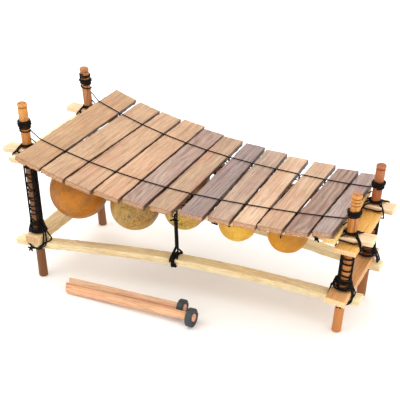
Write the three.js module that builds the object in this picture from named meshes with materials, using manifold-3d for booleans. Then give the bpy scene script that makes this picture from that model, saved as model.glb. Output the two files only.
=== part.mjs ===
// Balafon: twelve wooden keys slung on cords over gourds in a lashed frame on four round posts,
// with two mallets on the floor in front.
// Millimetres. +Z is up, +X points to the treble end and -Y to the player.
// The origin is on the floor, under the middle of the length and of the width.
import * as THREE from 'three';
import { mergeVertices } from 'three/addons/utils/BufferGeometryUtils.js';
import Module from 'manifold-3d';

const wasm = await Module();
wasm.setup();

// Clearances
const touchGap = 0.3;
const turnGap = 0.6;
const cutOverrun = 20;

// Posts
const postSpacing = 680;
const postRadius = 10.2;
const postFootChamfer = 1.2;
const bassPostHeight = 411;
const treblePostHeight = 321;
const bassHalfWidth = 137;
const trebleHalfWidth = 79;
const bassFrontLeanLength = 30;
const bassBackLeanLength = 25;
const trebleFrontLeanLength = 24;
const trebleBackLeanLength = 23;
const trebleFrontToeLength = 3.5;
const trebleBackToeLength = -2;
const bassPostDrawWidth = 11;
const treblePostDrawWidth = 1;
const knobHeight = 9;
const knobRadius = 10.8;
const knobShares = [[1, 0.3], [0.93, 0.7], [0.6, 0.95]];
const grooveWidth = 2.4;
const grooveDepth = 1.8;
const groovePitch = 7;
const postSides = 16;

// Keys
const keyCount = 12;
const longestKey = 435;
const widestKey = 58.6;
const keyThickness = 12;
const keyEdgeRadius = 1.5;
const keyArchDepth = 3;
const keyLengthShares = [1, 0.992, 0.989, 0.986, 0.94, 0.907, 0.872, 0.832, 0.795, 0.777, 0.736, 0.692];
const keyWidthShares = [1, 0.936, 0.963, 0.956, 0.855, 0.86, 0.855, 0.831, 0.819, 0.859, 0.822, 0.681];
const keyPlaceShares = [0.054, 0.1428, 0.2275, 0.3145, 0.3976, 0.4781, 0.5672, 0.6497, 0.7296, 0.8145, 0.8965, 0.9682];
const keySlideShares = [-0.0046, -0.0034, 0, 0.015, 0.0094, 0.0117, 0.0173, 0.0156, 0.0071, 0.0071, -0.0049, 0.0026];
// How far each key runs sideways, and widens, for each millimetre of its length
const keySkews = [0, 0.018, 0.012, 0.004, 0, -0.013, -0.028, -0.035, -0.028, 0.01, 0.021, 0.028];
const keyTapers = [0, 0.006, -0.018, -0.008, 0, -0.002, -0.015, 0.012, 0, -0.009, 0.001, -0.003];
const keyArchShare = 0.2;
const bedLowHeight = 256;
const bedBassRiseHeight = 66;
const bedLowShare = 0.75;
const bedCurvePower = 2.4;

// Rails along the length
const bassRailOverhang = 73;
const trebleRailOverhang = 62;
const upperRailWidth = 35;
const upperRailThickness = 12;
const railToKeyGap = 20;
const bassRailRiseHeight = 6;
const railBlendLength = 110;
const lowerRailWidth = 30;
const lowerRailThickness = 14;
const lowerRailHeight = 90;
const lowerRailBowHeight = 18;
const bassLowerOverhang = 57;
const trebleLowerOverhang = 44;
const railSteps = 18;

// Planks across the ends
const upperBassPlank = { width: 43, thickness: 10, frontLength: 170, backLength: 172, skewLength: 4 };
const upperTreblePlank = { width: 44, thickness: 10, frontLength: 123, backLength: 128, skewLength: 5 };
const lowerBassPlank = { width: 34, thickness: 20, frontLength: 162, backLength: 156, skewLength: 0 };
const lowerTreblePlank = { width: 43, thickness: 13, frontLength: 127, backLength: 118, skewLength: 6 };
const spreaderWidth = 26;
const spreaderThickness = 13;
const spreaderFrontLength = 135;
const spreaderBackLength = 118;
const spreaderPlaceShare = 0.978;

// Gourds
const gourdWall = 4;
const gourdRadii = { front: [64.5, 54.5, 45, 41.5, 43.5], back: [57, 48, 41, 38, 36] };
const gourdPlaceShares = { front: [0.147, 0.322, 0.472, 0.653, 0.817], back: [0.235, 0.398, 0.55, 0.73, 0.89] };
const gourdInsets = { front: [24, 29, 47, 36, 27], back: [34, 34, 34, 30, 24] };
const gourdRimShares = { front: [0.75, 0.66, 0.28, 0.42, 0.37], back: [0.6, 0.5, 0.4, 0.4, 0.4] };
const gourdDrops = { front: [0, 0, 8, 0, 0], back: [0, 0, 0, 0, 0] };
const gourdSides = 12;
const gourdRings = 6;
const tieRadius = 1.2;
const tieDrop = 9;
const tieEnd = 2.4;

// Suspension cords
const cordRadius = 1.3;
const gapDipShare = 0.3;
const overCordRise = { bass: 17, treble: 1 };
const underCordRise = { bass: 12, treble: 6 };
const cordSides = 5;

// Windings on the posts
const windingRadius = 1.6;
const windingPitch = 3.8;
const bassFrontWindingShares = [0.43, 0.682];
const bassBackWindingShares = [0.669, 0.971];
const trebleFrontWindingShares = [0.591, 0.887];
const trebleBackWindingShares = [0.404, 0.636];
const ringCordRadius = 1.5;
const ringTurns = 2;
const woundSteps = 12;
const woundSides = 5;

// Leg lashings
const lashingCordRadius = 2;
const stayGap = 1;
const bassLashingTurns = 7;
const trebleLashingTurns = 5;
const bassStayAngles = [-145, -30, -1, 28];
const trebleStayAngles = [-145, 0, 29];

// Middle straps
const strapRadius = 2.1;
const strapPlaceShare = 0.485;
const strapKnotDrop = 8;
const strapSplitHeight = 20;
const strapSpread = 4;
const strapLean = 6;

// Mallets
const handleSides = 8;
const tipStubLength = 1;
const headWidth = 12;
const headTurns = 5;
const headSteps = 14;
const frontMalletLength = 316;
const frontMalletOffsetLength = -248;
const frontMalletOffsetWidth = -180;
const frontMalletSwingWidth = -10;
const frontGripRadius = 11.5;
const frontTipRadius = 8.8;
const frontHeadRadius = 21.5;
const rearMalletLength = 287;
const rearMalletOffsetLength = -254;
const rearMalletOffsetWidth = -156;
const rearMalletSwingWidth = -4;
const rearGripRadius = 10.6;
const rearTipRadius = 8.2;
const rearHeadRadius = 19.5;

// Finishes
const wood = (color) => new THREE.MeshStandardMaterial({ color, roughness: 0.6, metalness: 0 });
const finishes = {
  post: wood(0xb5713c),
  rail: wood(0xe2c58a),
  plank: wood(0xd29a5c),
  handle: wood(0xd99a6c),
  gourd: wood(0xc8862e),
  cord: new THREE.MeshStandardMaterial({ color: 0x17120f, roughness: 0.8, metalness: 0 }),
  rubber: new THREE.MeshStandardMaterial({ color: 0x22262a, roughness: 0.7, metalness: 0 }),
};
const keyColors = [
  0xd0a27c, 0xcf9f78, 0xd3a47d, 0xcf9d75, 0x9c8380, 0xc79a6e,
  0x8f7a7c, 0xa98a78, 0xd9b285, 0xcc9d7c, 0x94766a, 0xa58c88,
];

// Places that follow from the sizes
const upperRailLength = bassRailOverhang + postSpacing + trebleRailOverhang;
const bassPostX = bassRailOverhang - upperRailLength / 2;
const treblePostX = bassPostX + postSpacing;
const bedLowX = bassPostX + bedLowShare * postSpacing;
const keyPlace = (index) => {
  const low = Math.floor(index);
  const high = Math.min(low + 1, keyCount - 1);
  const share = THREE.MathUtils.lerp(keyPlaceShares[low], keyPlaceShares[high], index - low);
  return bassPostX + share * postSpacing;
};
const bedSpan = bedLowX - keyPlace(0);

const mallets = [
  {
    name: 'front_mallet', length: frontMalletLength, x: frontMalletOffsetLength, y: frontMalletOffsetWidth,
    swing: frontMalletSwingWidth, grip: frontGripRadius, tip: frontTipRadius, head: frontHeadRadius,
  },
  {
    name: 'rear_mallet', length: rearMalletLength, x: rearMalletOffsetLength, y: rearMalletOffsetWidth,
    swing: rearMalletSwingWidth, grip: rearGripRadius, tip: rearTipRadius, head: rearHeadRadius,
  },
];

const model = new THREE.Group();

function addMesh(name, geometry, material, parent = model) {
  const mesh = new THREE.Mesh(geometry, material);
  mesh.name = name;
  parent.add(mesh);
  return mesh;
}

// A solid for the boolean library, from a geometry whose shared corners are merged
function toSolid(geometry) {
  const bare = new THREE.BufferGeometry();
  bare.setAttribute('position', geometry.attributes.position.clone());
  if (geometry.index) {
    bare.setIndex(geometry.index.clone());
  }
  const merged = mergeVertices(bare, 1e-4);
  const corners = merged.index.array;
  const kept = [];
  for (let i = 0; i < corners.length; i += 3) {
    const [a, b, c] = [corners[i], corners[i + 1], corners[i + 2]];
    if (a !== b && b !== c && c !== a) {
      kept.push(a, b, c);
    }
  }
  const vertProperties = new Float32Array(merged.attributes.position.array);
  return new wasm.Manifold(new wasm.Mesh({ numProp: 3, vertProperties, triVerts: new Uint32Array(kept) }));
}

function toGeometry(solid) {
  const mesh = solid.getMesh();
  const geometry = new THREE.BufferGeometry();
  const points = new Float32Array((mesh.vertProperties.length / mesh.numProp) * 3);
  for (let i = 0; i < points.length / 3; i += 1) {
    points.set(mesh.vertProperties.subarray(i * mesh.numProp, i * mesh.numProp + 3), i * 3);
  }
  geometry.setAttribute('position', new THREE.BufferAttribute(points, 3));
  geometry.setIndex(new THREE.BufferAttribute(new Uint32Array(mesh.triVerts), 1));
  return geometry;
}

// One body from pieces that run into each other
function joinPieces(geometries) {
  return toGeometry(geometries.map(toSolid).reduce((joined, next) => joined.add(next)));
}

// Posts: each leans along the length and is drawn in across the width as it rises
function bassPost(name, side, lean) {
  const spread = { height: bassPostHeight, draw: bassPostDrawWidth, grooves: 1 };
  return { name, x: bassPostX, y: side * bassHalfWidth, side, lean: -lean, bass: true, ...spread };
}

function treblePost(name, side, lean, toe, grooves) {
  const spread = { height: treblePostHeight, draw: treblePostDrawWidth, grooves };
  return { name, x: treblePostX - toe, y: side * trebleHalfWidth, side, lean, bass: false, ...spread };
}

const posts = {
  bassFront: bassPost('bass_front_post', -1, bassFrontLeanLength),
  bassBack: bassPost('bass_back_post', 1, bassBackLeanLength),
  trebleFront: treblePost('treble_front_post', -1, trebleFrontLeanLength, trebleFrontToeLength, 3),
  trebleBack: treblePost('treble_back_post', 1, trebleBackLeanLength, trebleBackToeLength, 1),
};

function postAxis(post, z) {
  const rise = z / post.height;
  return new THREE.Vector3(post.x + post.lean * rise, post.y - post.side * post.draw * rise, z);
}

function leanWithPost(geometry, post) {
  const shear = new THREE.Matrix4().makeShear(
    0, 0, 0, 0, post.lean / post.height, (-post.side * post.draw) / post.height);
  geometry.applyMatrix4(shear);
  geometry.translate(post.x, post.y, 0);
  return geometry;
}

function postGeometry(post) {
  const profile = [
    [0, 0],
    [postRadius - postFootChamfer, 0],
    [postRadius, postFootChamfer],
  ];
  const neck = post.height - knobHeight;
  for (let i = post.grooves - 1; i >= 0; i -= 1) {
    const top = neck - i * groovePitch;
    profile.push([postRadius, top - grooveWidth]);
    profile.push([postRadius - grooveDepth, top - grooveWidth / 2]);
    profile.push([postRadius, top]);
  }
  for (const [radiusShare, heightShare] of knobShares) {
    profile.push([knobRadius * radiusShare, neck + knobHeight * heightShare]);
  }
  profile.push([0, post.height]);
  const lathe = new THREE.LatheGeometry(profile.map(([r, z]) => new THREE.Vector2(r, z)), postSides);
  return leanWithPost(lathe.rotateX(Math.PI / 2), post);
}

function postHole(post, low, high) {
  const hole = new THREE.CylinderGeometry(
    postRadius + touchGap, postRadius + touchGap, high - low + 2 * cutOverrun, postSides);
  hole.rotateX(Math.PI / 2).translate(0, 0, (low + high) / 2);
  return toSolid(leanWithPost(hole, post));
}

function cutForPosts(geometry, crossed, low, high) {
  let solid = toSolid(geometry);
  for (const post of crossed) {
    solid = solid.subtract(postHole(post, low, high));
  }
  return toGeometry(solid);
}

function addPosts() {
  for (const post of Object.values(posts)) {
    addMesh(post.name, postGeometry(post), finishes.post);
  }
}

// The key bed: the height and slope of the key tops along the length
function bedTop(x) {
  return bedLowHeight + bedBassRiseHeight * Math.pow(Math.abs(bedLowX - x) / bedSpan, bedCurvePower);
}

function bedSlope(x) {
  const step = keyEdgeRadius;
  return (bedTop(x + step) - bedTop(x - step)) / (2 * step);
}

const keys = keyLengthShares.map((share, index) => {
  const x = keyPlace(index);
  const tilt = Math.atan(bedSlope(x));
  return {
    name: `key_${String(index + 1).padStart(2, '0')}`,
    x,
    y: longestKey * keySlideShares[index],
    top: bedTop(x),
    tilt,
    length: longestKey * share,
    width: widestKey * keyWidthShares[index],
    skew: keySkews[index],
    taper: keyTapers[index],
    color: keyColors[index],
  };
});

// A point on a key's upright middle plane: along its width, and down from its top
function keyPoint(key, along, down) {
  const x = key.x + along * Math.cos(key.tilt) + down * Math.sin(key.tilt);
  const z = key.top + along * Math.sin(key.tilt) - down * Math.cos(key.tilt);
  return new THREE.Vector2(x, z);
}

// How far across a key's face its left (-1) or right (1) edge lies, at a place along the key
function keyEdge(key, hand, y) {
  return hand * (key.width + key.taper * (y - key.y)) / 2 + key.skew * (y - key.y);
}

function keyGeometry(key) {
  const half = key.length / 2;
  const arch = key.length * keyArchShare;
  const side = new THREE.Shape();
  side.moveTo(-half + keyEdgeRadius, 0);
  side.lineTo(-half, -keyEdgeRadius);
  side.lineTo(-half + keyEdgeRadius / 2, -keyThickness);
  side.lineTo(-arch, -keyThickness);
  side.quadraticCurveTo(0, -keyThickness + 2 * keyArchDepth, arch, -keyThickness);
  side.lineTo(half - keyEdgeRadius / 2, -keyThickness);
  side.lineTo(half, -keyEdgeRadius);
  side.lineTo(half - keyEdgeRadius, 0);
  side.closePath();
  const slab = new THREE.ExtrudeGeometry(side, { depth: key.width, bevelEnabled: false, curveSegments: 6 });
  const turn = new THREE.Matrix4().makeBasis(
    new THREE.Vector3(0, 1, 0), new THREE.Vector3(0, 0, 1), new THREE.Vector3(1, 0, 0));
  slab.applyMatrix4(turn).translate(-key.width / 2, 0, 0);
  const spots = slab.getAttribute('position');
  for (let i = 0; i < spots.count; i += 1) {
    const hand = Math.sign(spots.getX(i));
    spots.setX(i, keyEdge(key, hand, spots.getY(i) + key.y));
  }
  slab.computeVertexNormals();
  return slab;
}

function addKeys() {
  for (const key of keys) {
    const mesh = addMesh(key.name, keyGeometry(key), wood(key.color));
    mesh.position.set(key.x, key.y, key.top);
    mesh.rotation.y = -key.tilt;
  }
}

// Rails: a side outline carried across the width, then skewed to follow the line of the posts
const bassPlankX = postAxis(posts.bassFront, bedLowHeight + bedBassRiseHeight).x;
const treblePlankX = postAxis(posts.trebleFront, bedLowHeight).x;
const railDrop = keyThickness + railToKeyGap;
const bassFlatEnd = bassPlankX + upperBassPlank.width / 2 + touchGap;
const trebleFlatStart = treblePlankX - upperTreblePlank.width / 2 - touchGap;
const bassRailTop = bedTop(bassPostX) - railDrop + bassRailRiseHeight;

function upperRailTop(x) {
  const bed = bedTop(THREE.MathUtils.clamp(x, bassPostX, trebleFlatStart)) - railDrop;
  const blend = THREE.MathUtils.smoothstep(x, bassFlatEnd, bassFlatEnd + railBlendLength);
  return THREE.MathUtils.lerp(bassRailTop, bed, blend);
}

const trebleRailTop = upperRailTop(trebleFlatStart);

const lowerBassX = postAxis(posts.bassFront, lowerRailHeight).x + lowerBassPlank.width / 2;
const lowerTrebleX = postAxis(posts.trebleFront, lowerRailHeight).x - lowerTreblePlank.width / 2;

function lowerRailFaceAt(x) {
  const along = THREE.MathUtils.clamp((x - lowerBassX) / (lowerTrebleX - lowerBassX), 0, 1);
  return lowerRailHeight + lowerRailBowHeight * Math.sin(Math.PI * along);
}

function lineBetweenPosts(bass, treble, bassHeight, trebleHeight) {
  const start = postAxis(bass, bassHeight);
  const end = postAxis(treble, trebleHeight);
  const slope = (end.y - start.y) / (end.x - start.x);
  return { slope, at: (x) => start.y + slope * (x - start.x) };
}

function railStations(from, to, marks) {
  const stations = [from, ...marks, to];
  for (let i = 1; i < railSteps; i += 1) {
    stations.push(THREE.MathUtils.lerp(marks[0], marks[marks.length - 1], i / railSteps));
  }
  return [...new Set(stations)].sort((a, b) => a - b);
}

function railGeometry(stations, topAt, thickness, width, line) {
  const outline = new THREE.Shape();
  stations.forEach((x, i) => (i ? outline.lineTo(x, topAt(x)) : outline.moveTo(x, topAt(x))));
  [...stations].reverse().forEach((x) => outline.lineTo(x, topAt(x) - thickness));
  outline.closePath();
  const rail = new THREE.ExtrudeGeometry(outline, { depth: width, bevelEnabled: false });
  rail.rotateX(Math.PI / 2).translate(0, width / 2, 0);
  rail.applyMatrix4(new THREE.Matrix4().makeShear(line.slope, 0, 0, 0, 0, 0));
  return rail.translate(0, line.at(0), 0);
}

const sides = [
  { name: 'front', side: -1, bass: posts.bassFront, treble: posts.trebleFront },
  { name: 'back', side: 1, bass: posts.bassBack, treble: posts.trebleBack },
];

for (const row of sides) {
  row.upper = lineBetweenPosts(row.bass, row.treble, bassRailTop, trebleRailTop);
  row.lower = lineBetweenPosts(row.bass, row.treble, lowerRailHeight, lowerRailHeight);
}

const upperStations = railStations(-upperRailLength / 2, upperRailLength / 2, [bassFlatEnd, trebleFlatStart]);
const lowerStations = railStations(
  bassPostX - bassLowerOverhang, treblePostX + trebleLowerOverhang, [lowerBassX, lowerTrebleX]);

// The upper rails' top face, which runs straight from station to station
function upperRailFace(x) {
  const next = upperStations.findIndex((station) => station > x);
  const [from, to] = [upperStations[next - 1], upperStations[next]];
  return THREE.MathUtils.lerp(upperRailTop(from), upperRailTop(to), (x - from) / (to - from));
}

function addRails() {
  for (const row of sides) {
    const crossed = [row.bass, row.treble];
    const upper = railGeometry(upperStations, upperRailTop, upperRailThickness, upperRailWidth, row.upper);
    const upperRail = cutForPosts(upper, crossed, trebleRailTop - upperRailThickness, bassRailTop);
    addMesh(`upper_${row.name}_rail`, upperRail, finishes.rail);
    const lower = railGeometry(lowerStations, lowerRailFaceAt, lowerRailThickness, lowerRailWidth, row.lower);
    const lowerRail = cutForPosts(lower, crossed, lowerRailHeight - lowerRailThickness, lowerRailHeight);
    addMesh(`lower_${row.name}_rail`, lowerRail, finishes.rail);
  }
}

// Planks across the ends, with a hole for each post; skew sets the front end's right corner forward
function plankGeometry(plank, x, bottom, crossed) {
  const half = plank.width / 2;
  const outline = new THREE.Shape();
  outline.moveTo(x - half, -plank.frontLength);
  outline.lineTo(x + half, -plank.frontLength - plank.skewLength);
  outline.lineTo(x + half, plank.backLength);
  outline.lineTo(x - half, plank.backLength);
  outline.closePath();
  const slab = new THREE.ExtrudeGeometry(outline, { depth: plank.thickness, bevelEnabled: false });
  return cutForPosts(slab.translate(0, 0, bottom), crossed, bottom, bottom + plank.thickness);
}

const upperBassBottom = bassRailTop - upperRailThickness - touchGap - upperBassPlank.thickness;
const upperTrebleBottom = trebleRailTop - upperRailThickness - touchGap - upperTreblePlank.thickness;
const lowerPlankBottom = lowerRailHeight + touchGap;

function addPlanks() {
  const bass = [posts.bassFront, posts.bassBack];
  const treble = [posts.trebleFront, posts.trebleBack];
  const lowBassX = postAxis(posts.bassFront, lowerRailHeight).x;
  const lowTrebleX = postAxis(posts.trebleFront, lowerRailHeight).x;
  const planks = [
    ['upper_bass_plank', upperBassPlank, bassPlankX, upperBassBottom, bass],
    ['upper_treble_plank', upperTreblePlank, treblePlankX, upperTrebleBottom, treble],
    ['lower_bass_plank', lowerBassPlank, lowBassX, lowerPlankBottom, bass],
    ['lower_treble_plank', lowerTreblePlank, lowTrebleX, lowerPlankBottom, treble],
  ];
  for (const [name, plank, x, bottom, crossed] of planks) {
    addMesh(name, plankGeometry(plank, x, bottom, crossed), finishes.plank);
  }
}

// A loose cross stick that lies on the rails under the last key
function addSpreader() {
  const x = bassPostX + spreaderPlaceShare * postSpacing;
  const half = spreaderWidth / 2;
  const seat = Math.max(upperRailTop(x - half), upperRailTop(x + half)) + touchGap;
  const length = spreaderFrontLength + spreaderBackLength;
  const stick = new THREE.BoxGeometry(spreaderWidth, length, spreaderThickness);
  stick.translate(x, (spreaderBackLength - spreaderFrontLength) / 2, seat + spreaderThickness / 2);
  addMesh('treble_spreader', stick, finishes.plank);
}

// A cord: rings of points square to a route, closed at both ends
function cordGeometry(route, radius, ringSides) {
  const tangents = route.map((point, i) => {
    const before = route[Math.max(i - 1, 0)];
    const after = route[Math.min(i + 1, route.length - 1)];
    return after.clone().sub(before).normalize();
  });
  const up = Math.abs(tangents[0].z) > 0.9 ? new THREE.Vector3(1, 0, 0) : new THREE.Vector3(0, 0, 1);
  const across = new THREE.Vector3().crossVectors(up, tangents[0]).normalize();
  const points = [];
  route.forEach((point, i) => {
    if (i > 0) {
      across.applyQuaternion(new THREE.Quaternion().setFromUnitVectors(tangents[i - 1], tangents[i]));
    }
    const other = new THREE.Vector3().crossVectors(tangents[i], across);
    for (let k = 0; k < ringSides; k += 1) {
      const angle = (2 * Math.PI * k) / ringSides;
      const offset = across.clone().multiplyScalar(radius * Math.cos(angle));
      points.push(point.clone().add(offset).addScaledVector(other, radius * Math.sin(angle)));
    }
  });
  const index = [];
  for (let i = 0; i < route.length - 1; i += 1) {
    for (let k = 0; k < ringSides; k += 1) {
      const a = i * ringSides + k;
      const b = i * ringSides + ((k + 1) % ringSides);
      index.push(a, b, b + ringSides, a, b + ringSides, a + ringSides);
    }
  }
  const last = (route.length - 1) * ringSides;
  for (let k = 1; k < ringSides - 1; k += 1) {
    index.push(0, k + 1, k, last, last + k, last + k + 1);
  }
  const geometry = new THREE.BufferGeometry().setFromPoints(points);
  geometry.setIndex(index);
  return geometry;
}

// The least distance between points further apart along the route than the cord is thick, less its thickness
function leastGap(route, radius) {
  const points = [];
  for (let i = 1; i < route.length; i += 1) {
    const parts = Math.ceil(route[i].distanceTo(route[i - 1]) / radius);
    for (let k = 0; k < parts; k += 1) {
      points.push(route[i - 1].clone().lerp(route[i], k / parts));
    }
  }
  const along = [0];
  points.slice(1).forEach((point, i) => along.push(along[i] + point.distanceTo(points[i])));
  let least = Infinity;
  for (let i = 0; i < points.length; i += 1) {
    for (let k = i + 1; k < points.length; k += 1) {
      if (along[k] - along[i] > 4 * radius) {
        least = Math.min(least, points[i].distanceTo(points[k]));
      }
    }
  }
  return least - 2 * radius;
}

// A ring of points must stand this much further out than its cord, because its sides are straight
const ringSpread = 1 / Math.cos(Math.PI / woundSteps);

// Turns pulled tight round a bundle of upright rods: every turn follows the rods' common outline
function tightTurns(rods, centreAt, turn, radius, startAngle, hand) {
  const route = [];
  for (let k = 0; k <= turn.count * woundSteps; k += 1) {
    const angle = startAngle + (hand * 2 * Math.PI * k) / woundSteps;
    const normal = new THREE.Vector3(Math.cos(angle), Math.sin(angle), 0);
    const reach = (rod) => rod.x * normal.x + rod.y * normal.y + rod.radius;
    const rod = rods.reduce((best, next) => (reach(next) > reach(best) ? next : best));
    const point = centreAt(turn.from + (turn.pitch * k) / woundSteps);
    point.add(new THREE.Vector3(rod.x, rod.y, 0));
    route.push(point.addScaledVector(normal, (rod.radius + touchGap + radius) * ringSpread));
  }
  return route;
}

function straightEnd(route, length) {
  const last = route[route.length - 1];
  return last.clone().sub(route[route.length - 2]).setLength(length).add(last);
}

function withStraightEnds(route, length) {
  return [straightEnd([...route].reverse(), length), ...route, straightEnd(route, length)];
}

function reportGap(name, route, radius) {
  console.log(`${name}: least gap between turns ${leastGap(route, radius).toFixed(2)} mm`);
}

const bareRod = [{ x: 0, y: 0, radius: postRadius }];
const ringPitch = 2 * ringCordRadius + turnGap;

// A winding takes its shares of the bare post between the rail's ring and the lowest groove
function windingTurn(post, shares) {
  const railTop = post.bass ? bassRailTop : trebleRailTop;
  const lowest = railTop + touchGap + 2 * ringCordRadius + ringTurns * ringPitch;
  const highest = post.height - knobHeight - post.grooves * groovePitch;
  const [from, to] = shares.map((share) => THREE.MathUtils.lerp(lowest, highest, share));
  return { from, pitch: windingPitch, count: Math.max(Math.round((to - from) / windingPitch), 1) };
}

function addPostWindings() {
  const windings = [
    ['bass_front_winding', posts.bassFront, bassFrontWindingShares, Math.PI / 2],
    ['bass_back_winding', posts.bassBack, bassBackWindingShares, -Math.PI / 2],
    ['treble_front_winding', posts.trebleFront, trebleFrontWindingShares, Math.PI / 2],
    ['treble_back_winding', posts.trebleBack, trebleBackWindingShares, -Math.PI / 2],
  ];
  for (const [name, post, shares, angle] of windings) {
    const turn = windingTurn(post, shares);
    const turns = tightTurns(bareRod, (z) => postAxis(post, z), turn, windingRadius, angle, 1);
    const route = withStraightEnds(turns, 2 * windingRadius);
    reportGap(name, route, windingRadius);
    addMesh(name, cordGeometry(route, windingRadius, woundSides), finishes.cord);
  }
}

function addJointRings() {
  for (const post of Object.values(posts)) {
    const seat = (post.bass ? bassRailTop : trebleRailTop) + touchGap + ringCordRadius;
    const turn = { from: seat, pitch: ringPitch, count: ringTurns };
    const turns = tightTurns(bareRod, (z) => postAxis(post, z), turn, ringCordRadius, 0, 1);
    const route = withStraightEnds(turns, 2 * ringCordRadius);
    const name = post.name.replace('post', 'ring');
    reportGap(name, route, ringCordRadius);
    addMesh(name, cordGeometry(route, ringCordRadius, woundSides), finishes.cord);
  }
}

// Leg lashings: one cord runs up and down beside each post between the planks, then winds tight round it all
function lashingRoute(post) {
  const low = lowerPlankBottom + (post.bass ? lowerBassPlank.thickness : lowerTreblePlank.thickness) + touchGap;
  const high = (post.bass ? upperBassBottom : upperTrebleBottom) - touchGap;
  const ends = [low + lashingCordRadius, high - lashingCordRadius];
  const angles = post.bass ? bassStayAngles : trebleStayAngles;
  const hand = -post.side;
  const seat = (postRadius + touchGap + lashingCordRadius) * ringSpread;
  const beside = (degrees) => {
    const angle = THREE.MathUtils.degToRad(hand * degrees);
    return new THREE.Vector3(seat * Math.cos(angle), seat * Math.sin(angle), 0);
  };
  const route = [];
  angles.forEach((degrees, i) => {
    const [from, to] = i % 2 ? [ends[1], ends[0]] : ends;
    if (i > 0) {
      const steps = Math.ceil(((degrees - angles[i - 1]) * woundSteps) / 360);
      for (let k = 1; k < steps; k += 1) {
        route.push(postAxis(post, from).add(beside(THREE.MathUtils.lerp(angles[i - 1], degrees, k / steps))));
      }
    }
    route.push(postAxis(post, from).add(beside(degrees)), postAxis(post, to).add(beside(degrees)));
  });
  const rise = angles.length % 2 ? -1 : 1;
  const count = post.bass ? bassLashingTurns : trebleLashingTurns;
  const height = ends[1] - ends[0] - 2 * lashingCordRadius - turnGap;
  const turn = { from: rise > 0 ? ends[0] : ends[1], pitch: (rise * height) / count, count };
  const stays = angles.map((degrees) => {
    const place = beside(degrees);
    return { x: place.x, y: place.y, radius: lashingCordRadius + stayGap - touchGap };
  });
  const startAngle = THREE.MathUtils.degToRad(hand * angles[angles.length - 1]);
  const rods = [{ x: 0, y: 0, radius: postRadius + stayGap }, ...stays];
  const turns = tightTurns(rods, (z) => postAxis(post, z), turn, lashingCordRadius, startAngle, hand);
  return [...route, ...turns, straightEnd(turns, 2 * lashingCordRadius)];
}

function addLegLashings() {
  for (const post of Object.values(posts)) {
    const route = lashingRoute(post);
    const name = post.name.replace('post', 'lashing');
    reportGap(name, route, lashingCordRadius);
    addMesh(name, cordGeometry(route, lashingCordRadius, woundSides), finishes.cord);
  }
}

// Suspension cords: on each side a cord over the keys and a cord under them
function cordLine(row) {
  const bassHeight = bedTop(bassPostX);
  const trebleHeight = bedTop(treblePostX);
  return lineBetweenPosts(row.bass, row.treble, bassHeight, trebleHeight);
}

function bedRoute(row, down, rise, dipShare) {
  const line = cordLine(row);
  const place = (flat) => new THREE.Vector3(flat.x, line.at(flat.x), flat.y);
  const edges = keys.map((key) => [-1, 1].map((hand) => keyPoint(key, keyEdge(key, hand, line.at(key.x)), down)));
  const route = [];
  edges.forEach(([left, right], i) => {
    if (i > 0) {
      const before = edges[i - 1][1];
      const middle = before.clone().add(left).multiplyScalar(0.5);
      middle.y -= dipShare * (left.x - before.x);
      route.push(place(middle));
    }
    route.push(place(left), place(right));
  });
  const start = postEnd(row.bass, route[0].z + rise.bass, 1);
  const end = postEnd(row.treble, route[route.length - 1].z + rise.treble, -1);
  return [...start, ...route, ...end.reverse()];
}

// The two points where a cord meets a post squarely
function postEnd(post, z, direction) {
  const axis = postAxis(post, z);
  const face = axis.clone().add(new THREE.Vector3(direction * (postRadius + touchGap), 0, 0));
  return [face, face.clone().add(new THREE.Vector3(direction * 2 * cordRadius, 0, 0))];
}

function addSuspensionCords() {
  const reach = cordRadius + touchGap;
  for (const row of sides) {
    const over = bedRoute(row, -reach, overCordRise, gapDipShare);
    const under = bedRoute(row, keyThickness + reach, underCordRise, 0);
    addMesh(`${row.name}_over_cord`, cordGeometry(over, cordRadius, cordSides), finishes.cord);
    addMesh(`${row.name}_under_cord`, cordGeometry(under, cordRadius, cordSides), finishes.cord);
  }
}

// Gourds: open shells hung under the rails, each turned to the rail's slope and tied to it through its wall
function gourdGeometry(radius, rimShare) {
  const profile = [];
  const rimAngle = Math.asin(rimShare);
  for (let i = 0; i <= gourdRings; i += 1) {
    const angle = THREE.MathUtils.lerp(-Math.PI / 2, rimAngle, i / gourdRings);
    profile.push(new THREE.Vector2(i ? radius * Math.cos(angle) : 0, radius * Math.sin(angle)));
  }
  const inner = radius - gourdWall;
  const innerAngle = Math.asin((radius * rimShare) / inner);
  const innerRings = gourdRings - 1;
  for (let i = innerRings; i >= 0; i -= 1) {
    const angle = THREE.MathUtils.lerp(-Math.PI / 2, innerAngle, i / innerRings);
    profile.push(new THREE.Vector2(i ? inner * Math.cos(angle) : 0, inner * Math.sin(angle)));
  }
  const shell = new THREE.LatheGeometry(profile, gourdSides);
  return shell.rotateX(Math.PI / 2).translate(0, 0, -radius * rimShare);
}

// How far the outer wall stands from the gourd's axis, at a height over the middle of its ball
function wallReach(gourd, height) {
  const step = (Math.asin(gourd.rimShare) + Math.PI / 2) / gourdRings;
  const ring = Math.floor((Math.asin(height / gourd.radius) + Math.PI / 2) / step);
  const angles = [ring * step - Math.PI / 2, (ring + 1) * step - Math.PI / 2];
  const [low, high] = angles.map((angle) => gourd.radius * Math.sin(angle));
  const [lowReach, highReach] = angles.map((angle) => gourd.radius * Math.cos(angle));
  return THREE.MathUtils.mapLinear(height, low, high, lowReach, highReach);
}

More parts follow.
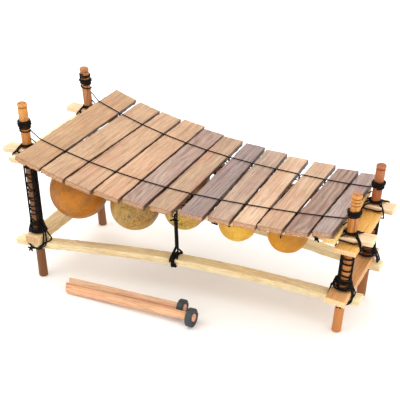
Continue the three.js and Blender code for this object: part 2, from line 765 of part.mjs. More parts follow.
// A tie: outside the gourd's wall, up round the rail and back down inside the same wall
function tieGeometry(gourd, side, drop) {
  const reach = tieRadius + touchGap;
  const below = gourd.radius * gourd.rimShare - tieDrop;
  const outer = Math.max(wallReach(gourd, below), wallReach(gourd, below + tieEnd)) + reach;
  const facet = Math.cos(Math.PI / gourdSides);
  const inner = Math.sqrt((gourd.radius - gourdWall) ** 2 - (below + tieEnd) ** 2) * facet - reach - touchGap;
  const front = gourd.inset + upperRailWidth / 2 + reach;
  const back = gourd.inset - upperRailWidth / 2 - reach;
  const top = drop + touchGap + upperRailThickness + reach;
  const route = [
    [outer, -tieDrop],
    [outer, tieEnd - tieDrop],
    [Math.max(front, outer), -reach],
    [front, top],
    [back, top],
    [back, -reach],
    [inner, tieEnd - tieDrop],
    [inner, -tieDrop],
  ];
  return cordGeometry(route.map(([out, z]) => new THREE.Vector3(0, side * out, z)), tieRadius, cordSides);
}

// The cord that runs on the rail from tie to tie
function tieLineGeometry(row, from, to) {
  const stations = [from, ...upperStations.filter((x) => x > from && x < to), to];
  const lift = touchGap + tieRadius;
  const route = stations.map((x) => new THREE.Vector3(x, row.upper.at(x), upperRailFace(x) + lift));
  return cordGeometry(route, tieRadius, cordSides);
}

// The gourd's rim meets the lowest place of the rail's underside that it spans
function gourdSeat(x, gourd) {
  const reach = gourd.radius * Math.sqrt(1 - gourd.rimShare ** 2);
  const slope = (upperRailFace(x + reach / 2) - upperRailFace(x - reach / 2)) / reach;
  let sink = 0;
  for (let share = -1; share <= 1; share += 1 / gourdRings) {
    sink = Math.max(sink, upperRailFace(x) + slope * reach * share - upperRailFace(x + reach * share));
  }
  const drop = sink + gourd.drop;
  return { slope, drop, z: upperRailFace(x) - upperRailThickness - touchGap - drop };
}

function addGourds() {
  for (const row of sides) {
    const ties = [];
    const places = [];
    gourdRadii[row.name].forEach((radius, i) => {
      const gourd = {
        radius,
        rimShare: gourdRimShares[row.name][i],
        inset: gourdInsets[row.name][i],
        drop: gourdDrops[row.name][i],
      };
      const x = bassPostX + gourdPlaceShares[row.name][i] * postSpacing;
      const seat = gourdSeat(x, gourd);
      const y = row.upper.at(x) - row.side * gourd.inset;
      const turn = new THREE.Matrix4().makeRotationY(-Math.atan(seat.slope)).setPosition(x, y, seat.z);
      const shell = gourdGeometry(radius, gourd.rimShare).applyMatrix4(turn);
      addMesh(`${row.name}_gourd_${i + 1}`, shell, finishes.gourd);
      ties.push(tieGeometry(gourd, row.side, seat.drop).applyMatrix4(turn));
      places.push(x);
    });
    const line = tieLineGeometry(row, places[0], places[places.length - 1]);
    addMesh(`${row.name}_gourd_cord`, joinPieces([line, ...ties]), finishes.cord);
  }
}

// Straps at mid length: one cord laid double, round the upper rail, down, and apart round the lower rail
function addStraps() {
  const x = bassPostX + strapPlaceShare * postSpacing;
  const reach = strapRadius + touchGap;
  for (const row of sides) {
    const high = upperRailTop(x);
    const low = lowerRailFaceAt(x);
    const upperOut = row.upper.at(x) + row.side * (upperRailWidth / 2 + reach);
    const upperIn = row.upper.at(x) - row.side * (upperRailWidth / 2 + reach);
    const lowerOut = row.lower.at(x - strapLean - strapSpread) + row.side * (lowerRailWidth / 2 + reach);
    const lowerIn = row.lower.at(x - strapLean + strapSpread) - row.side * (lowerRailWidth / 2 + reach);
    const over = high + touchGap + 2 * tieRadius + reach;
    const under = high - upperRailThickness - reach;
    const knot = under - strapKnotDrop;
    const split = low + strapSplitHeight;
    const bottom = low - lowerRailThickness - reach;
    const loop = [
      [reach, upperOut, knot],
      [reach, upperOut, knot + 2 * strapRadius],
      [reach, upperOut, over],
      [-reach, upperIn, over],
      [-reach, upperIn, under],
      [-reach, upperOut, under],
      [-reach, upperOut, knot],
      [-reach - strapLean, row.lower.at(x), split],
      [-strapSpread - strapLean, lowerOut, low + reach],
      [-strapSpread - strapLean, lowerOut, bottom],
      [strapSpread - strapLean, lowerIn, bottom],
      [strapSpread - strapLean, lowerIn, low + reach],
      [reach - strapLean, row.lower.at(x), split],
      [reach, upperOut, knot - 2 * strapRadius],
    ];
    const route = loop.map(([along, y, z]) => new THREE.Vector3(x + along, y, z));
    addMesh(`${row.name}_mid_strap`, cordGeometry(route, strapRadius, cordSides), finishes.cord);
  }
}

// Mallets: a tapered, faceted handle through a rubber head wound on a plain core, lying on the floor
function handleGeometry(mallet) {
  const handle = new THREE.CylinderGeometry(mallet.tip, mallet.grip, mallet.length, handleSides);
  return handle.rotateZ(-Math.PI / 2).translate(mallet.length / 2, 0, 0);
}

// The head is one rubber strip rolled up round the handle
function headGeometry(mallet) {
  const place = (mallet.length - headWidth - tipStubLength) / mallet.length;
  const handle = THREE.MathUtils.lerp(mallet.grip, mallet.tip, place);
  const bore = (handle + touchGap) / Math.cos(Math.PI / headSteps);
  const pitch = (mallet.head - bore + turnGap) / (headTurns + 1);
  const strip = pitch - turnGap;
  const roll = (radius) => Array.from({ length: headTurns * headSteps + 1 }, (_, k) => {
    const angle = (2 * Math.PI * k) / headSteps;
    const reach = radius + (pitch * k) / headSteps;
    return new THREE.Vector2(reach * Math.cos(angle), reach * Math.sin(angle));
  });
  reportGap(`${mallet.name}_head`, roll(bore + strip / 2), strip / 2);
  const outline = new THREE.Shape([...roll(bore + strip), ...roll(bore).reverse()]);
  const head = new THREE.ExtrudeGeometry(outline, { depth: headWidth, bevelEnabled: false });
  return head.translate(0, 0, -headWidth / 2).rotateY(Math.PI / 2);
}

// Each mallet lies on the rim of its head and on the end of its grip
function addMallets() {
  for (const mallet of mallets) {
    const group = new THREE.Group();
    const headPlace = mallet.length - tipStubLength - headWidth / 2;
    const lift = Math.atan((mallet.head - mallet.grip) / (headPlace - headWidth / 2));
    group.rotation.order = 'ZYX';
    group.rotation.set(0, -lift, Math.atan(mallet.swing / mallet.length));
    model.add(group);
    addMesh(`${mallet.name}_handle`, handleGeometry(mallet), finishes.handle, group);
    const head = addMesh(`${mallet.name}_head`, headGeometry(mallet), finishes.rubber, group);
    head.position.x = headPlace;
    const lowest = new THREE.Box3().setFromObject(group, true).min.z;
    group.position.set(mallet.x, mallet.y, -lowest);
  }
}

addPosts();
addRails();
addPlanks();
addSpreader();
addKeys();
addSuspensionCords();
addPostWindings();
addJointRings();
addLegLashings();
addGourds();
addStraps();
addMallets();

export default model;
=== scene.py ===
"""Balafon: the looks of a small gourd-resonated balafon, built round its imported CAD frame.

Metres, +Z up, -Y the player.
"""

import logging
import math
from dataclasses import dataclass, field, replace
from enum import Enum

import bpy
import numpy as np
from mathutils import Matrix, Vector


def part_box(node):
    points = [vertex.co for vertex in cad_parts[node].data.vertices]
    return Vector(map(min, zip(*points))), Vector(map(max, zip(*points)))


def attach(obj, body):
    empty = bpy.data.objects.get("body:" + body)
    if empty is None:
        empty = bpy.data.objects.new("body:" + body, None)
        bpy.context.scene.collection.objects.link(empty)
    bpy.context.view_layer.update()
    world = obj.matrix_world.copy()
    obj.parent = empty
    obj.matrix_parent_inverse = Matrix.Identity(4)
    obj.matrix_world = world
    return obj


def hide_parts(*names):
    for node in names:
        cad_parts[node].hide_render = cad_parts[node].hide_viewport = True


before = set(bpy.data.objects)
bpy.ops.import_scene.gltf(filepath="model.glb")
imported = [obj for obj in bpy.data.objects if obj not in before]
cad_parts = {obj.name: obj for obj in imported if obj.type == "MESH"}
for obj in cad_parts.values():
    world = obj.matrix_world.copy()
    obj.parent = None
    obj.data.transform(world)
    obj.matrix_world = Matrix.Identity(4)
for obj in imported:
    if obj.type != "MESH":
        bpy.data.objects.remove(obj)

LOG = logging.getLogger("balafon")
Array = np.ndarray
Number = Array | float
Point = tuple[float, float, float]
Route = list[Point] | Array
Piece = bpy.types.Object
Material = bpy.types.Material
Socket = bpy.types.NodeSocket
TURN = 2 * math.pi
MM = 0.001
GAP = 0.0003  # between pieces that touch
NIP = 0.0002  # between a cord and what it is wound on
ROUND = 40  # points round a post and round its holes
UP = np.array([0.0, 0.0, 1.0])
ALONG_Y = np.array([0.0, 1.0, 0.0])


# ---------------------------------------------------------------- numbers and arrays


def linear(colour: str) -> Point:
    """Turn an sRGB colour of six hex digits into linear light, each channel 0 to 1."""
    share = np.array(list(bytes.fromhex(colour))) / 255.0
    return tuple(float(c) for c in np.where(share <= 0.04045, share / 12.92, ((share + 0.055) / 1.055) ** 2.4))


def vec(*parts: Number) -> Array:
    """Stack coordinates that may be arrays or numbers into points along a last axis."""
    return np.stack(np.broadcast_arrays(*[np.asarray(p, float) for p in parts]), axis=-1)


def ray(angle: Number) -> Array:
    """The direction across at an angle, as cosine and sine."""
    return vec(np.cos(angle), np.sin(angle))


def circle(count: int) -> Array:
    """Even angles round one turn."""
    return np.linspace(0, TURN, count, endpoint=False)


def unit(v: Array) -> Array:
    """Scale each vector of an array to length one."""
    return v / np.maximum(np.linalg.norm(v, axis=-1, keepdims=True), 1e-12)


def ease(value: Array, low: float, high: float) -> Array:
    """Smoothstep: 0 below low, 1 above high and 3s^2 - 2s^3 of the share s between."""
    share = np.clip((value - low) / (high - low), 0, 1)
    return share * share * (3 - 2 * share)


def ripple(seed: int, scale: float, *coordinates: Array) -> Array:
    """Smooth unevenness: the mean of nine seeded sines of the coordinates, about -1 to 1.

    Args:
        seed: Which unevenness.
        scale: The length of its middle waves, in the coordinates' unit.
        coordinates: Arrays that fit one shape.

    Returns:
        An array of that shape.
    """
    rng = np.random.default_rng(seed)
    total = 0.0
    for _ in range(9):
        turns = rng.normal(size=len(coordinates)) * TURN / scale
        phase = rng.uniform(0, TURN)
        total = total + np.sin(sum(t * np.asarray(c) for t, c in zip(turns, coordinates)) + phase)
    return total / 4.5


def run_length(points: Array) -> Array:
    """The length run along a path up to each of its points."""
    return np.concatenate([[0], np.cumsum(np.linalg.norm(np.diff(points, axis=0), axis=1))])


def resampled(points: Array, spacing: float, rounds: int) -> Array:
    """Space a path's points evenly, then round its corners by moving each halfway to its neighbours' middle."""
    length = run_length(points)
    steps = np.linspace(0, length[-1], max(int(length[-1] / spacing), 3) + 1)
    path = np.stack([np.interp(steps, length, points[:, i]) for i in range(3)], axis=1)
    for _ in range(rounds):
        path[1:-1] = (path[:-2] + 2 * path[1:-1] + path[2:]) / 4
    return path


def path_normals(path: Array) -> tuple[Array, Array]:
    """Give each point of a path two normals that don't twist along it.

    A first normal is taken square to the tangent. The angle that each needs to agree with its neighbour, carried over
    by the least turn, is added up along the path, and every normal is turned by its sum.
    """
    tangent = unit(np.gradient(path, axis=0))
    first = unit(np.cross(np.where(np.abs(tangent[:, 2:3]) > 0.8, [1.0, 0.0, 0.0], UP), tangent))
    before, after = tangent[:-1], tangent[1:]
    dot = np.sum(before * after, axis=1, keepdims=True)
    carried = first[:-1] - (before + after) * np.sum(after * first[:-1], axis=1, keepdims=True) / (1 + dot + 1e-9)
    other = np.cross(after, first[1:])
    angle = np.arctan2(np.sum(carried * other, axis=1), np.sum(carried * first[1:], axis=1))
    turned = np.concatenate([[0], np.cumsum(angle)])[:, None]
    normal = first * np.cos(turned) + np.cross(tangent, first) * np.sin(turned)
    return normal, np.cross(tangent, normal)


def band(turn: Array, wide: float, tall: float) -> tuple[Array, Array]:
    """The y and z of turns pulled square round a lath: cosine and sine over the larger of the two."""
    stretch = np.maximum(np.abs(np.cos(turn)), np.abs(np.sin(turn)))
    return wide * np.cos(turn) / stretch, tall * np.sin(turn) / stretch


def tilted(angle: float) -> tuple[Array, Array]:
    """The directions along x and up, tilted by an angle about y."""
    return vec(math.cos(angle), 0.0, math.sin(angle)), vec(-math.sin(angle), 0.0, math.cos(angle))


# ---------------------------------------------------------------- meshes


@dataclass
class Surface:
    """Points, quads and triangles of a mesh, and values held at its points."""

    points: Array
    quads: Array
    triangles: Array = field(default_factory=lambda: np.zeros((0, 3), int))
    values: dict[str, Array] = field(default_factory=dict)

    def outward(self) -> "Surface":
        """Turn every face round where the sum of the triangles' triple products, the volume, is negative."""
        halves = [self.triangles, self.quads[:, [0, 1, 2]], self.quads[:, [0, 2, 3]]]
        corners = self.points[np.concatenate(halves)]
        if np.sum(corners[:, 0] * np.cross(corners[:, 1], corners[:, 2])) < 0:
            self.quads, self.triangles = self.quads[:, ::-1], self.triangles[:, ::-1]
        return self


def joined(parts: list[Surface]) -> Surface:
    """Put several surfaces into one mesh, one after the other."""
    starts = np.cumsum([0] + [len(p.points) for p in parts[:-1]])
    return Surface(np.concatenate([p.points for p in parts]),
                   np.concatenate([p.quads + s for p, s in zip(parts, starts)]),
                   np.concatenate([p.triangles + s for p, s in zip(parts, starts)]),
                   {k: np.concatenate([p.values[k] for p in parts]) for k in parts[0].values})


def capped(rings: Array, values: dict[str, Array] | None = None) -> Surface:
    """Join a stack of rings by quads and close it with a fan to a middle point at each end.

    Args:
        rings: Points as rows, around, 3.
        values: Values as rows, around.

    Returns:
        The closed surface, facing out.
    """
    rows, around = rings.shape[:2]
    i, k = np.meshgrid(np.arange(rows - 1), np.arange(around), indexing="ij")
    low, n = i * around, (k + 1) % around
    quads = np.stack([low + k, low + n, low + around + n, low + around + k], -1).reshape(-1, 4)
    k, last, end = np.arange(around), (rows - 1) * around, np.full(around, rows * around)
    fans = [np.stack([end, (k + 1) % around, k], -1), np.stack([end + 1, last + k, last + (k + 1) % around], -1)]
    points = np.concatenate([rings.reshape(-1, 3), rings[0].mean(0)[None], rings[-1].mean(0)[None]])
    held = {name: np.concatenate([grid.reshape(-1), [grid[0].mean(), grid[-1].mean()]])
            for name, grid in (values or {}).items()}
    return Surface(points, quads, np.concatenate(fans), held).outward()


def put(name: str, surface: Surface, skin: Material, crease: float = 40.0) -> Piece:
    """Make a mesh object of a surface, at the origin, smooth but for edges sharper than the crease angle."""
    mesh = bpy.data.meshes.new(name)
    corners = np.concatenate([surface.quads.reshape(-1), surface.triangles.reshape(-1)]).astype(np.int32)
    totals = np.concatenate([np.full(len(surface.quads), 4), np.full(len(surface.triangles), 3)])
    mesh.vertices.add(len(surface.points))
    mesh.vertices.foreach_set("co", surface.points.astype(np.float32).reshape(-1))
    mesh.loops.add(len(corners))
    mesh.loops.foreach_set("vertex_index", corners)
    mesh.polygons.add(len(totals))
    mesh.polygons.foreach_set("loop_start", np.concatenate([[0], np.cumsum(totals)[:-1]]).astype(np.int32))
    mesh.update(calc_edges=True)
    mesh.validate()
    for key, value in surface.values.items():
        mesh.attributes.new(key, "FLOAT", "POINT").data.foreach_set("value", np.asarray(value, np.float32))
    mesh.shade_smooth()
    mesh.set_sharp_from_angle(angle=math.radians(crease))
    mesh.materials.append(skin)
    piece = bpy.data.objects.new(name, mesh)
    bpy.context.scene.collection.objects.link(piece)
    return piece


def show(piece: Piece, *nodes: str, body: str = "frame") -> None:
    """Let a piece ride on a body, standing for nodes where they are named and as cord where not, and log it."""
    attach(piece, body)
    if nodes:
        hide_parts(*nodes)
    LOG.info("%s: %d points", piece.name, len(piece.data.vertices))


def rounded_outline(width: float, height: float, radius: float, flat: int, arc: int = 3) -> Array:
    """The outline of a rectangle with rounded corners, centred.

    Args:
        width, height: The sizes across and up.
        radius: The corners' radius.
        flat: Points along each long side, between the arcs.
        arc: Steps of each quarter circle.

    Returns:
        The outline as x, y rows, counterclockwise.
    """
    parts = []
    inner = np.array([width / 2 - radius, height / 2 - radius])
    signs = np.array([[1, 1], [-1, 1], [-1, -1], [1, -1]])
    for i, count in enumerate((flat, 3, flat, 3)):
        parts.append(inner * signs[i] + radius * ray(math.pi / 2 * (i + np.linspace(0, 1, arc + 1))))
        end, start = parts[-1][-1], inner * signs[(i + 1) % 4] + radius * ray(math.pi / 2 * (i + 1))
        parts.append(end + (start - end) * np.linspace(0, 1, count + 2)[1:-1, None])
    return np.concatenate(parts)


@dataclass(frozen=True)
class Cord:
    """A three-strand laid cord: its radius, the length of one turn of its lay and how coarsely it is drawn."""

    radius: float
    lay: float
    around: int = 9
    depth: float = 0.22

    def along(self, route: Array, spacing: float = 0.0012, rounds: int = 2) -> Surface:
        """Carry the cord's section along a route.

        The section's radius is R (1 - d + d |cos(1.5 a)|), where a is the angle less one turn for each lay of length,
        so three strands wind round each other. Both ends are drawn in to a blunt tip.

        Args:
            route: Points of the middle line.
            spacing: The step along it.
            rounds: How many times its corners are rounded.

        Returns:
            The closed surface, with the value "strand" that is 0 in the grooves between strands.
        """
        path = resampled(np.asarray(route, float), spacing, rounds)
        length = run_length(path)
        angle = circle(self.around)[None, :]
        strand = np.abs(np.cos(1.5 * (angle - TURN * length[:, None] / self.lay)))
        tip = np.minimum(length, length[-1] - length)[:, None] / self.radius
        blunt = np.sqrt(np.clip(1 - np.clip(1 - tip, 0, 0.85) ** 2, 0, 1))
        reach = (self.radius * (1 - self.depth + self.depth * strand) * blunt)[..., None]
        first, second = (normal[:, None] for normal in path_normals(path))
        rings = path[:, None] + reach * (np.cos(angle)[..., None] * first + np.sin(angle)[..., None] * second)
        return capped(rings, {"strand": strand})


# ---------------------------------------------------------------- the instrument's lines


@dataclass(frozen=True)
class Post:
    """A round post: its foot's place, how far its top leans and is drawn in, and its height."""

    name: str
    x: float
    y: float
    lean: float
    draw: float
    height: float
    grooves: int
    radius: float = 0.0102

    @property
    def side(self) -> int:
        """-1 for the player's side, 1 for the far side."""
        return -1 if self.y < 0 else 1

    @property
    def end(self) -> str:
        """The end of the instrument where it stands, bass or treble."""
        return "bass" if self.x < 0 else "treble"

    @property
    def bass(self) -> bool:
        """Whether it stands at the bass end."""
        return self.x < 0

    def axis(self, height: Number) -> Array:
        """The middle of the post at a height: its foot plus the share of the height times lean and draw."""
        rise = np.asarray(height, float) / self.height
        return vec(self.x + self.lean * rise, self.y - self.side * self.draw * rise, height)

    def outwards(self, points: Array) -> Array:
        """The level direction from its axis to each point."""
        return unit((points - self.axis(points[:, 2])) * [1, 1, 0])


POSTS = {
    "bass_front": Post("bass_front_post", -0.3345, -0.137, -0.030, 0.011, 0.411, 1),
    "bass_back": Post("bass_back_post", -0.3345, 0.137, -0.025, 0.011, 0.411, 1),
    "treble_front": Post("treble_front_post", 0.342, -0.079, 0.024, 0.001, 0.321, 3),
    "treble_back": Post("treble_back_post", 0.3475, 0.079, 0.023, 0.001, 0.321, 1),
}
SIDES = {"front": -1, "back": 1}


@dataclass(frozen=True)
class Bed:
    """The lines that every piece follows: the key bed, the rails under it and their sizes."""

    bass_x: float = -0.3345
    spacing: float = 0.680
    low: float = 0.256
    rise: float = 0.066
    low_x: float = 0.1755
    span: float = 0.47328
    power: float = 2.4
    key_thickness: float = 0.012
    rail_drop: float = 0.032
    bass_rail_top: float = 0.30897
    flat_end: float = -0.3362
    blend: float = 0.110
    flat_start: float = 0.33884
    upper_width: float = 0.035
    upper_thickness: float = 0.012
    lower_width: float = 0.030
    lower_thickness: float = 0.014
    lower_top: float = 0.090
    lower_bow: float = 0.018
    bow_start: float = bass_x - 0.00657 + 0.017  # the lower planks' inner edges: a middle and half a width
    bow_end: float = 0.342 + 0.00673 - 0.0215

    def place(self, share: float) -> float:
        """The x at a share of the way from the bass to the treble posts."""
        return self.bass_x + share * self.spacing

    def top(self, x: Number) -> Array:
        """The key tops' height: low + rise (|low_x - x| / span) ^ power."""
        return self.low + self.rise * (np.abs(self.low_x - np.asarray(x, float)) / self.span) ** self.power

    def tilt(self, x: float) -> float:
        """The bed's slope angle, from two heights 3 mm apart."""
        return math.atan((self.top(x + 0.0015) - self.top(x - 0.0015)) / 0.003)

    def upper_top(self, x: Number) -> Array:
        """The upper rails' top: level at the bass plank, then blended by smoothstep into the bed less the drop."""
        x = np.asarray(x, float)
        bed = self.top(np.clip(x, self.bass_x, self.flat_start)) - self.rail_drop
        return self.bass_rail_top + (bed - self.bass_rail_top) * ease(x, self.flat_end, self.flat_end + self.blend)

    def rail_level(self, post: Post) -> float:
        """The upper rails' top at a post."""
        return self.bass_rail_top if post.bass else self.upper_top(self.flat_start)

    def lower_top_at(self, x: Number) -> Array:
        """The lower rails' top: a half sine of the bow between the end planks."""
        share = np.clip((np.asarray(x, float) - self.bow_start) / (self.bow_end - self.bow_start), 0, 1)
        return self.lower_top + self.lower_bow * np.sin(math.pi * share)

    def line(self, side: int, bass_height: float, treble_height: float, x: Number) -> Array:
        """The y of the straight line that joins a side's two posts' axes at these heights."""
        word = "front" if side < 0 else "back"
        a, b = POSTS[f"bass_{word}"].axis(bass_height), POSTS[f"treble_{word}"].axis(treble_height)
        return a[1] + (b[1] - a[1]) / (b[0] - a[0]) * (np.asarray(x, float) - a[0])

    def upper_y(self, side: int, x: Number) -> Array:
        """The middle line of an upper rail."""
        return self.line(side, self.bass_rail_top, self.upper_top(self.flat_start), x)

    def lower_y(self, side: int, x: Number) -> Array:
        """The middle line of a lower rail."""
        return self.line(side, self.lower_top, self.lower_top, x)

    def cord_y(self, side: int, x: Number) -> Array:
        """The line of a side's suspension cords."""
        return self.line(side, self.top(self.bass_x), self.top(self.place(1.0)), x)


BED = Bed()


# ---------------------------------------------------------------- shaders


class Grain(Enum):
    """Which way a timber's grain runs: how a pattern is squeezed, then turned so that its first axis follows it."""

    ALONG_X = ((0.035, 1.0, 1.0), (0.0, 0.0, 0.0))
    ALONG_Y = ((1.0, 0.035, 1.0), (0.0, 0.0, -math.pi / 2))
    ALONG_Z = ((1.0, 1.0, 0.035), (0.0, math.pi / 2, 0.0))


class Tree:
    """A node tree with short calls to add and join its nodes."""

    def __init__(self, tree: bpy.types.NodeTree) -> None:
        """Keep the tree."""
        self.tree = tree

    def add(self, kind: str, **inputs: object) -> bpy.types.Node:
        """Add a node, with sockets set or joined by name or number, and properties given as _name.

        Args:
            kind: The node's type, without "ShaderNode" where it has it.
            inputs: Socket names with spaces as underscores, or i and a number; a socket joins, anything else sets.

        Returns:
            The node.
        """
        node = self.tree.nodes.new(kind if kind.startswith("Node") else "ShaderNode" + kind)
        for key in [k for k in inputs if k.startswith("_")]:
            setattr(node, key[1:], inputs.pop(key))
        self.join(node, **inputs)
        return node

    def join(self, node: bpy.types.Node, **inputs: object) -> None:
        """Join or set a node's inputs, named as for add."""
        for key, value in inputs.items():
            socket = node.inputs[int(key[1:]) if key[1:].isdigit() else key.replace("_", " ")]
            if isinstance(value, Socket):
                self.tree.links.new(value, socket)
            else:
                socket.default_value = value

    def value(self, name: str) -> Socket:
        """A value held at the mesh's points."""
        return self.add("Attribute", _attribute_name=name).outputs["Fac"]

    def place(self) -> Socket:
        """The point's own coordinates."""
        return self.add("TexCoord").outputs["Object"]

    def ramp(self, value: Socket, stops: list[tuple[float, Point]]) -> Socket:
        """A colour ramp through stops of place and colour."""
        node = self.add("ValToRGB", Fac=value)
        ramp = node.color_ramp
        while len(ramp.elements) < len(stops):
            ramp.elements.new(0.5)
        for element, (place, colour) in zip(ramp.elements, stops):
            element.position, element.color = place, (*colour, 1.0)
        return node.outputs["Color"]

    def mix(self, share: object, low: object, high: object, blend: str = "MIX") -> Socket:
        """Blend two colours by a share."""
        low, high = ((*c, 1.0) if isinstance(c, tuple) else c for c in (low, high))
        return self.add("Mix", _data_type="RGBA", _blend_type=blend, i0=share, i6=low, i7=high).outputs[2]

    def over(self, colour: object, mask: Socket, share: float, tint: str) -> Socket:
        """Lay a tint over a colour by a mask and a share."""
        return self.mix(self.math("MULTIPLY", mask, share), colour, linear(tint))

    def stained(self, colour: object, value: Socket, low: float, high: float, share: float, tint: str) -> Socket:
        """Lay a tint over a colour by a share that grows while a value runs from low to high."""
        return self.mix(self.spread(value, low, high, 0.0, share), colour, linear(tint))

    def shade(self, colour: Socket, tone: Socket) -> Socket:
        """Multiply a colour by a grey tone."""
        return self.mix(1.0, colour, self.add("CombineColor", Red=tone, Green=tone, Blue=tone).outputs[0], "MULTIPLY")

    def math(self, kind: str, a: object, b: object = 0.0) -> Socket:
        """A sum of numbers by one operation."""
        return self.add("Math", _operation=kind, i0=a, i1=b, i2=0.0).outputs[0]

    def stretch(self, vector: Socket, factor: float) -> Socket:
        """A vector with its first axis multiplied."""
        return self.add("VectorMath", _operation="MULTIPLY", i0=vector, i1=(factor, 1.0, 1.0)).outputs[0]

    def spread(self, value: object, low: float, high: float, start: float = 0.0, end: float = 1.0) -> Socket:
        """Map a value from one range to another, held at the ends."""
        return self.add("MapRange", Value=value, From_Min=low, From_Max=high, To_Min=start, To_Max=end).outputs[0]

    def noise(self, vector: Socket, scale: object, detail: float = 3.0, rough: float = 0.55,
              bend: float = 0.0) -> Socket:
        """A noise of a scale on a vector."""
        return self.add("TexNoise", Vector=vector, Scale=scale, Detail=detail, Roughness=rough,
                        Distortion=bend).outputs["Fac"]

    def bump(self, height: Socket, strength: float, distance: float) -> Socket:
        """The normal that a height gives."""
        return self.add("Bump", Height=height, Strength=strength, Distance=distance).outputs[0]


def effect(name: str, inputs: dict[str, object], outputs: list[str]) -> tuple[Tree, dict[str, Socket], bpy.types.Node]:
    """Start a shader node group.

    Args:
        name: The group's name.
        inputs: Name to the default of a float, or to None for a vector.
        outputs: The names of its float outputs.

    Returns:
        Its tree, its inputs' sockets by name and its output node.
    """
    tree = bpy.data.node_groups.new(name, "ShaderNodeTree")
    for key, default in inputs.items():
        kind = "NodeSocketVector" if default is None else "NodeSocketFloat"
        socket = tree.interface.new_socket(key, in_out="INPUT", socket_type=kind)
        if default is not None:
            socket.default_value = default
    for key in outputs:
        tree.interface.new_socket(key, in_out="OUTPUT", socket_type="NodeSocketFloat")
    maker = Tree(tree)
    source = maker.add("NodeGroupInput")
    return maker, {s.name: s for s in source.outputs if s.name}, maker.add("NodeGroupOutput")


class Effects:
    """The shared shader groups: wood figure and worn edges."""

    def __init__(self) -> None:
        """Build each group once."""
        self.figure = self._figure()
        self.wear = self._wear()

    def _figure(self) -> bpy.types.NodeTree:
        """Wood figure on a vector whose first axis runs along the grain, squeezed.

        Streaks are broad noise, rings a wave across the grain that a slow noise pushes sideways, fibre fine noise and
        pores the peaks of a finer one.
        """
        tree, given, out = effect(
            "wood_figure", {"Vector": None, "Streak": 70.0, "Ring": 60.0, "Warp": 1.0, "Fibre": 620.0},
            ["Streaks", "Rings", "Fibres", "Pores", "Height"])
        vector = given["Vector"]
        streak = tree.noise(vector, given["Streak"], 4.0, 0.6, 0.6)
        warp = tree.add("TexNoise", Vector=tree.stretch(vector, 9.0), Scale=13.0, Detail=2.0).outputs["Fac"]
        shift = tree.math("MULTIPLY", warp, given["Warp"])
        push = tree.add("CombineXYZ", X=0.0, Y=shift, Z=shift).outputs[0]
        moved = tree.add("VectorMath", _operation="ADD", i0=vector, i1=push).outputs[0]
        wave = tree.add("TexWave", _wave_type="BANDS", _bands_direction="Y", _wave_profile="SIN", Vector=moved,
                        Scale=given["Ring"], Distortion=1.4, Detail=2.0, Detail_Scale=1.6).outputs["Fac"]
        fibre = tree.noise(vector, given["Fibre"], 3.0, 0.65)
        pore = tree.spread(tree.noise(tree.stretch(vector, 3.0), 520.0, 2.0, 0.5), 0.60, 0.70)
        height = tree.math("SUBTRACT", fibre, tree.math("MULTIPLY", pore, 0.6))
        tree.join(out, Streaks=streak, Rings=wave, Fibres=fibre, Pores=pore, Height=height)
        return tree.tree

    def _wear(self) -> bpy.types.NodeTree:
        """Worn edges: the value "wear" at the points, broken up by noise, as a mask."""
        tree, given, out = effect("worn_edges", {"Vector": None, "Wear": 0.0}, ["Mask"])
        broken = tree.spread(tree.noise(given["Vector"], 300.0, 4.0, 0.7), 0.3, 0.7, -0.45, 0.45)
        tree.join(out, Mask=tree.spread(tree.math("ADD", given["Wear"], broken), 0.35, 0.75))
        return tree.tree


def material(name: str, colour: Point) -> tuple[Material, Tree, bpy.types.Node]:
    """A new material with its Principled shader, and a plain colour for the viewport."""
    made = bpy.data.materials.new(name)
    made.use_nodes = True
    made.diffuse_color = (*colour, 1.0)
    return made, Tree(made.node_tree), made.node_tree.nodes["Principled BSDF"]


